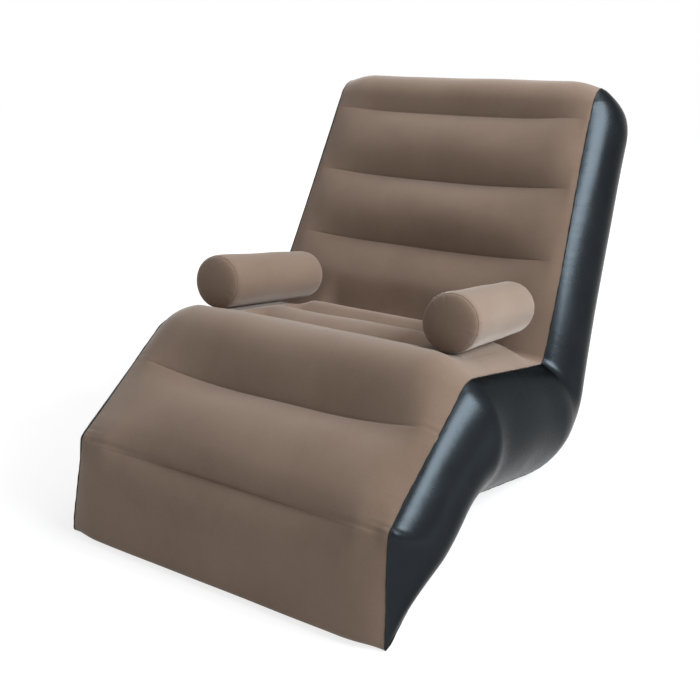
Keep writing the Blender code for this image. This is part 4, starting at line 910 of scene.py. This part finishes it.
def make_bolsters():
    for side_name, x, phase in (("left", -BOLSTER_X, 0.7), ("right", BOLSTER_X, 2.6)):
        make_sleeve(side_name, x, phase)
        make_disc(side_name, "_front_disc", x, level=-WELD_GAP, dome=-FRONT_DOME, flat_radius=0.0,
                  hole=0.0, phase=phase + 0.5)
        make_disc(side_name, "_rear_disc", x, level=BOLSTER_LENGTH + WELD_GAP, dome=REAR_DOME,
                  flat_radius=REAR_FLAT_RADIUS, hole=VALVE_HOLE_RADIUS, phase=phase + 3.1)
        make_patch(side_name, x)


# Kept CAD pieces
def dress_kept_pieces():
    """Materials of the CAD pieces that stay: inner strips and valves."""
    for name, item in NODES.items():
        if name.endswith("beam") or "_beam_" in name:
            material = INNER
        elif name in ("main_valve_seal", "main_valve_flap") or name.endswith("valve_flap"):
            material = RUBBER
        elif name.startswith("main_valve"):
            material = VALVE
        elif "_valve_" in name:
            material = CLEAR
        else:
            continue
        for slot in item.material_slots:
            slot.material = material


# Stage, light and camera
def by_ray(tree, lit, seen):
    """One shader for light on the object, another for the camera, reflections and glass."""
    path = tree.nodes.new("ShaderNodeLightPath")
    share = path.outputs["Is Camera Ray"]
    for name in ("Is Glossy Ray", "Is Transmission Ray"):
        either = tree.nodes.new("ShaderNodeMath")
        either.operation = "MAXIMUM"
        tree.links.new(share, either.inputs[0])
        tree.links.new(path.outputs[name], either.inputs[1])
        share = either.outputs[0]
    mix = tree.nodes.new("ShaderNodeMixShader")
    tree.links.new(share, mix.inputs["Fac"])
    tree.links.new(lit, mix.inputs[1])
    tree.links.new(seen, mix.inputs[2])
    return mix.outputs[0]


def make_stage():
    """Floor that lights the object and shows white, with painted shade: its glow is weaker round the
    object, which deepens the soft shadow there.
    """
    mesh = bpy.data.meshes.new("floor")
    corners = [(x * FLOOR_REACH, y * FLOOR_REACH, 0.0) for x, y in ((-1, -1), (1, -1), (1, 1), (-1, 1))]
    mesh.from_pydata(corners, [], [(0, 1, 2, 3)])
    floor = bpy.data.objects.new("floor", mesh)
    bpy.context.scene.collection.objects.link(floor)
    material = bpy.data.materials.new("Studio floor")
    material.use_nodes = True
    tree = material.node_tree
    tree.nodes.clear()
    out = tree.nodes.new("ShaderNodeOutputMaterial")
    plain = tree.nodes.new("ShaderNodeBsdfDiffuse")
    plain.inputs["Color"].default_value = (FLOOR_LIT, FLOOR_LIT, FLOOR_LIT, 1.0)
    glow = tree.nodes.new("ShaderNodeEmission")
    glow.inputs["Color"].default_value = (1.0, 1.0, 1.0, 1.0)
    place = tree.nodes.new("ShaderNodeTexCoord")
    away = tree.nodes.new("ShaderNodeVectorMath")
    away.operation = "LENGTH"
    tree.links.new(place.outputs["Object"], away.inputs[0])
    # Painted shade: the floor's glow dims towards the object's middle.
    painted_shade_pool = tree.nodes.new("ShaderNodeMapRange")
    for name, value in FLOOR_PAINTED_SHADE_POOL:
        painted_shade_pool.inputs[name].default_value = value
    tree.links.new(away.outputs["Value"], painted_shade_pool.inputs["Value"])
    tree.links.new(painted_shade_pool.outputs["Result"], glow.inputs["Strength"])
    shadow = tree.nodes.new("ShaderNodeBsdfDiffuse")
    shadow.inputs["Color"].default_value = (FLOOR_SHADE, FLOOR_SHADE, FLOOR_SHADE, 1.0)
    both = tree.nodes.new("ShaderNodeAddShader")
    tree.links.new(glow.outputs[0], both.inputs[0])
    tree.links.new(shadow.outputs[0], both.inputs[1])
    tree.links.new(by_ray(tree, plain.outputs[0], both.outputs[0]), out.inputs["Surface"])
    mesh.materials.append(material)


def make_world():
    """Soft light from all round, seen as plain white."""
    world = bpy.data.worlds.new("Studio")
    bpy.context.scene.world = world
    world.use_nodes = True
    tree = world.node_tree
    tree.nodes.clear()
    out = tree.nodes.new("ShaderNodeOutputWorld")
    soft = tree.nodes.new("ShaderNodeBackground")
    soft.inputs["Color"].default_value = (1.0, 1.0, 1.0, 1.0)
    soft.inputs["Strength"].default_value = WORLD_LEVEL
    white = tree.nodes.new("ShaderNodeBackground")
    white.inputs["Color"].default_value = (1.0, 1.0, 1.0, 1.0)
    white.inputs["Strength"].default_value = 1.0
    tree.links.new(by_ray(tree, soft.outputs[0], white.outputs[0]), out.inputs["Surface"])


def area_light(name, place, target, size, power, colour):
    light = bpy.data.lights.new(name, "AREA")
    light.shape = "RECTANGLE"
    light.size, light.size_y = size
    light.energy = power
    light.color = colour
    item = bpy.data.objects.new(name, light)
    bpy.context.scene.collection.objects.link(item)
    item.location = place
    item.rotation_euler = (Vector(target) - Vector(place)).to_track_quat("-Z", "Y").to_euler()


def make_camera():
    """Camera fitted to the seams in the photo."""
    angles = (CAMERA_AZIMUTH, CAMERA_ELEVATION, CAMERA_ROLL)
    azimuth, elevation, roll = (math.radians(angle) for angle in angles)
    look = Vector((-math.sin(azimuth) * math.cos(elevation), math.cos(azimuth) * math.cos(elevation),
                   -math.sin(elevation)))
    right = Vector((math.cos(azimuth), math.sin(azimuth), 0.0))
    up = right.cross(look)
    tilted_right = right * math.cos(roll) + up * math.sin(roll)
    tilted_up = up * math.cos(roll) - right * math.sin(roll)
    camera = bpy.data.cameras.new("camera")
    camera.sensor_width = SENSOR_WIDTH
    camera.lens = SENSOR_WIDTH * FOCAL_PIXELS / PICTURE_PIXELS
    camera.clip_end = 100.0
    item = bpy.data.objects.new("camera", camera)
    bpy.context.scene.collection.objects.link(item)
    matrix = Matrix((tilted_right, tilted_up, -look)).transposed().to_4x4()
    matrix.translation = Vector(CAMERA_POINT)
    item.matrix_world = matrix
    bpy.context.scene.camera = item


make_top()
make_sides()
make_base()
make_bolsters()
dress_kept_pieces()
make_stage()
make_world()
for light in LIGHTS:
    area_light(*light)
make_camera()
bpy.context.scene.view_settings.view_transform = "Standard"
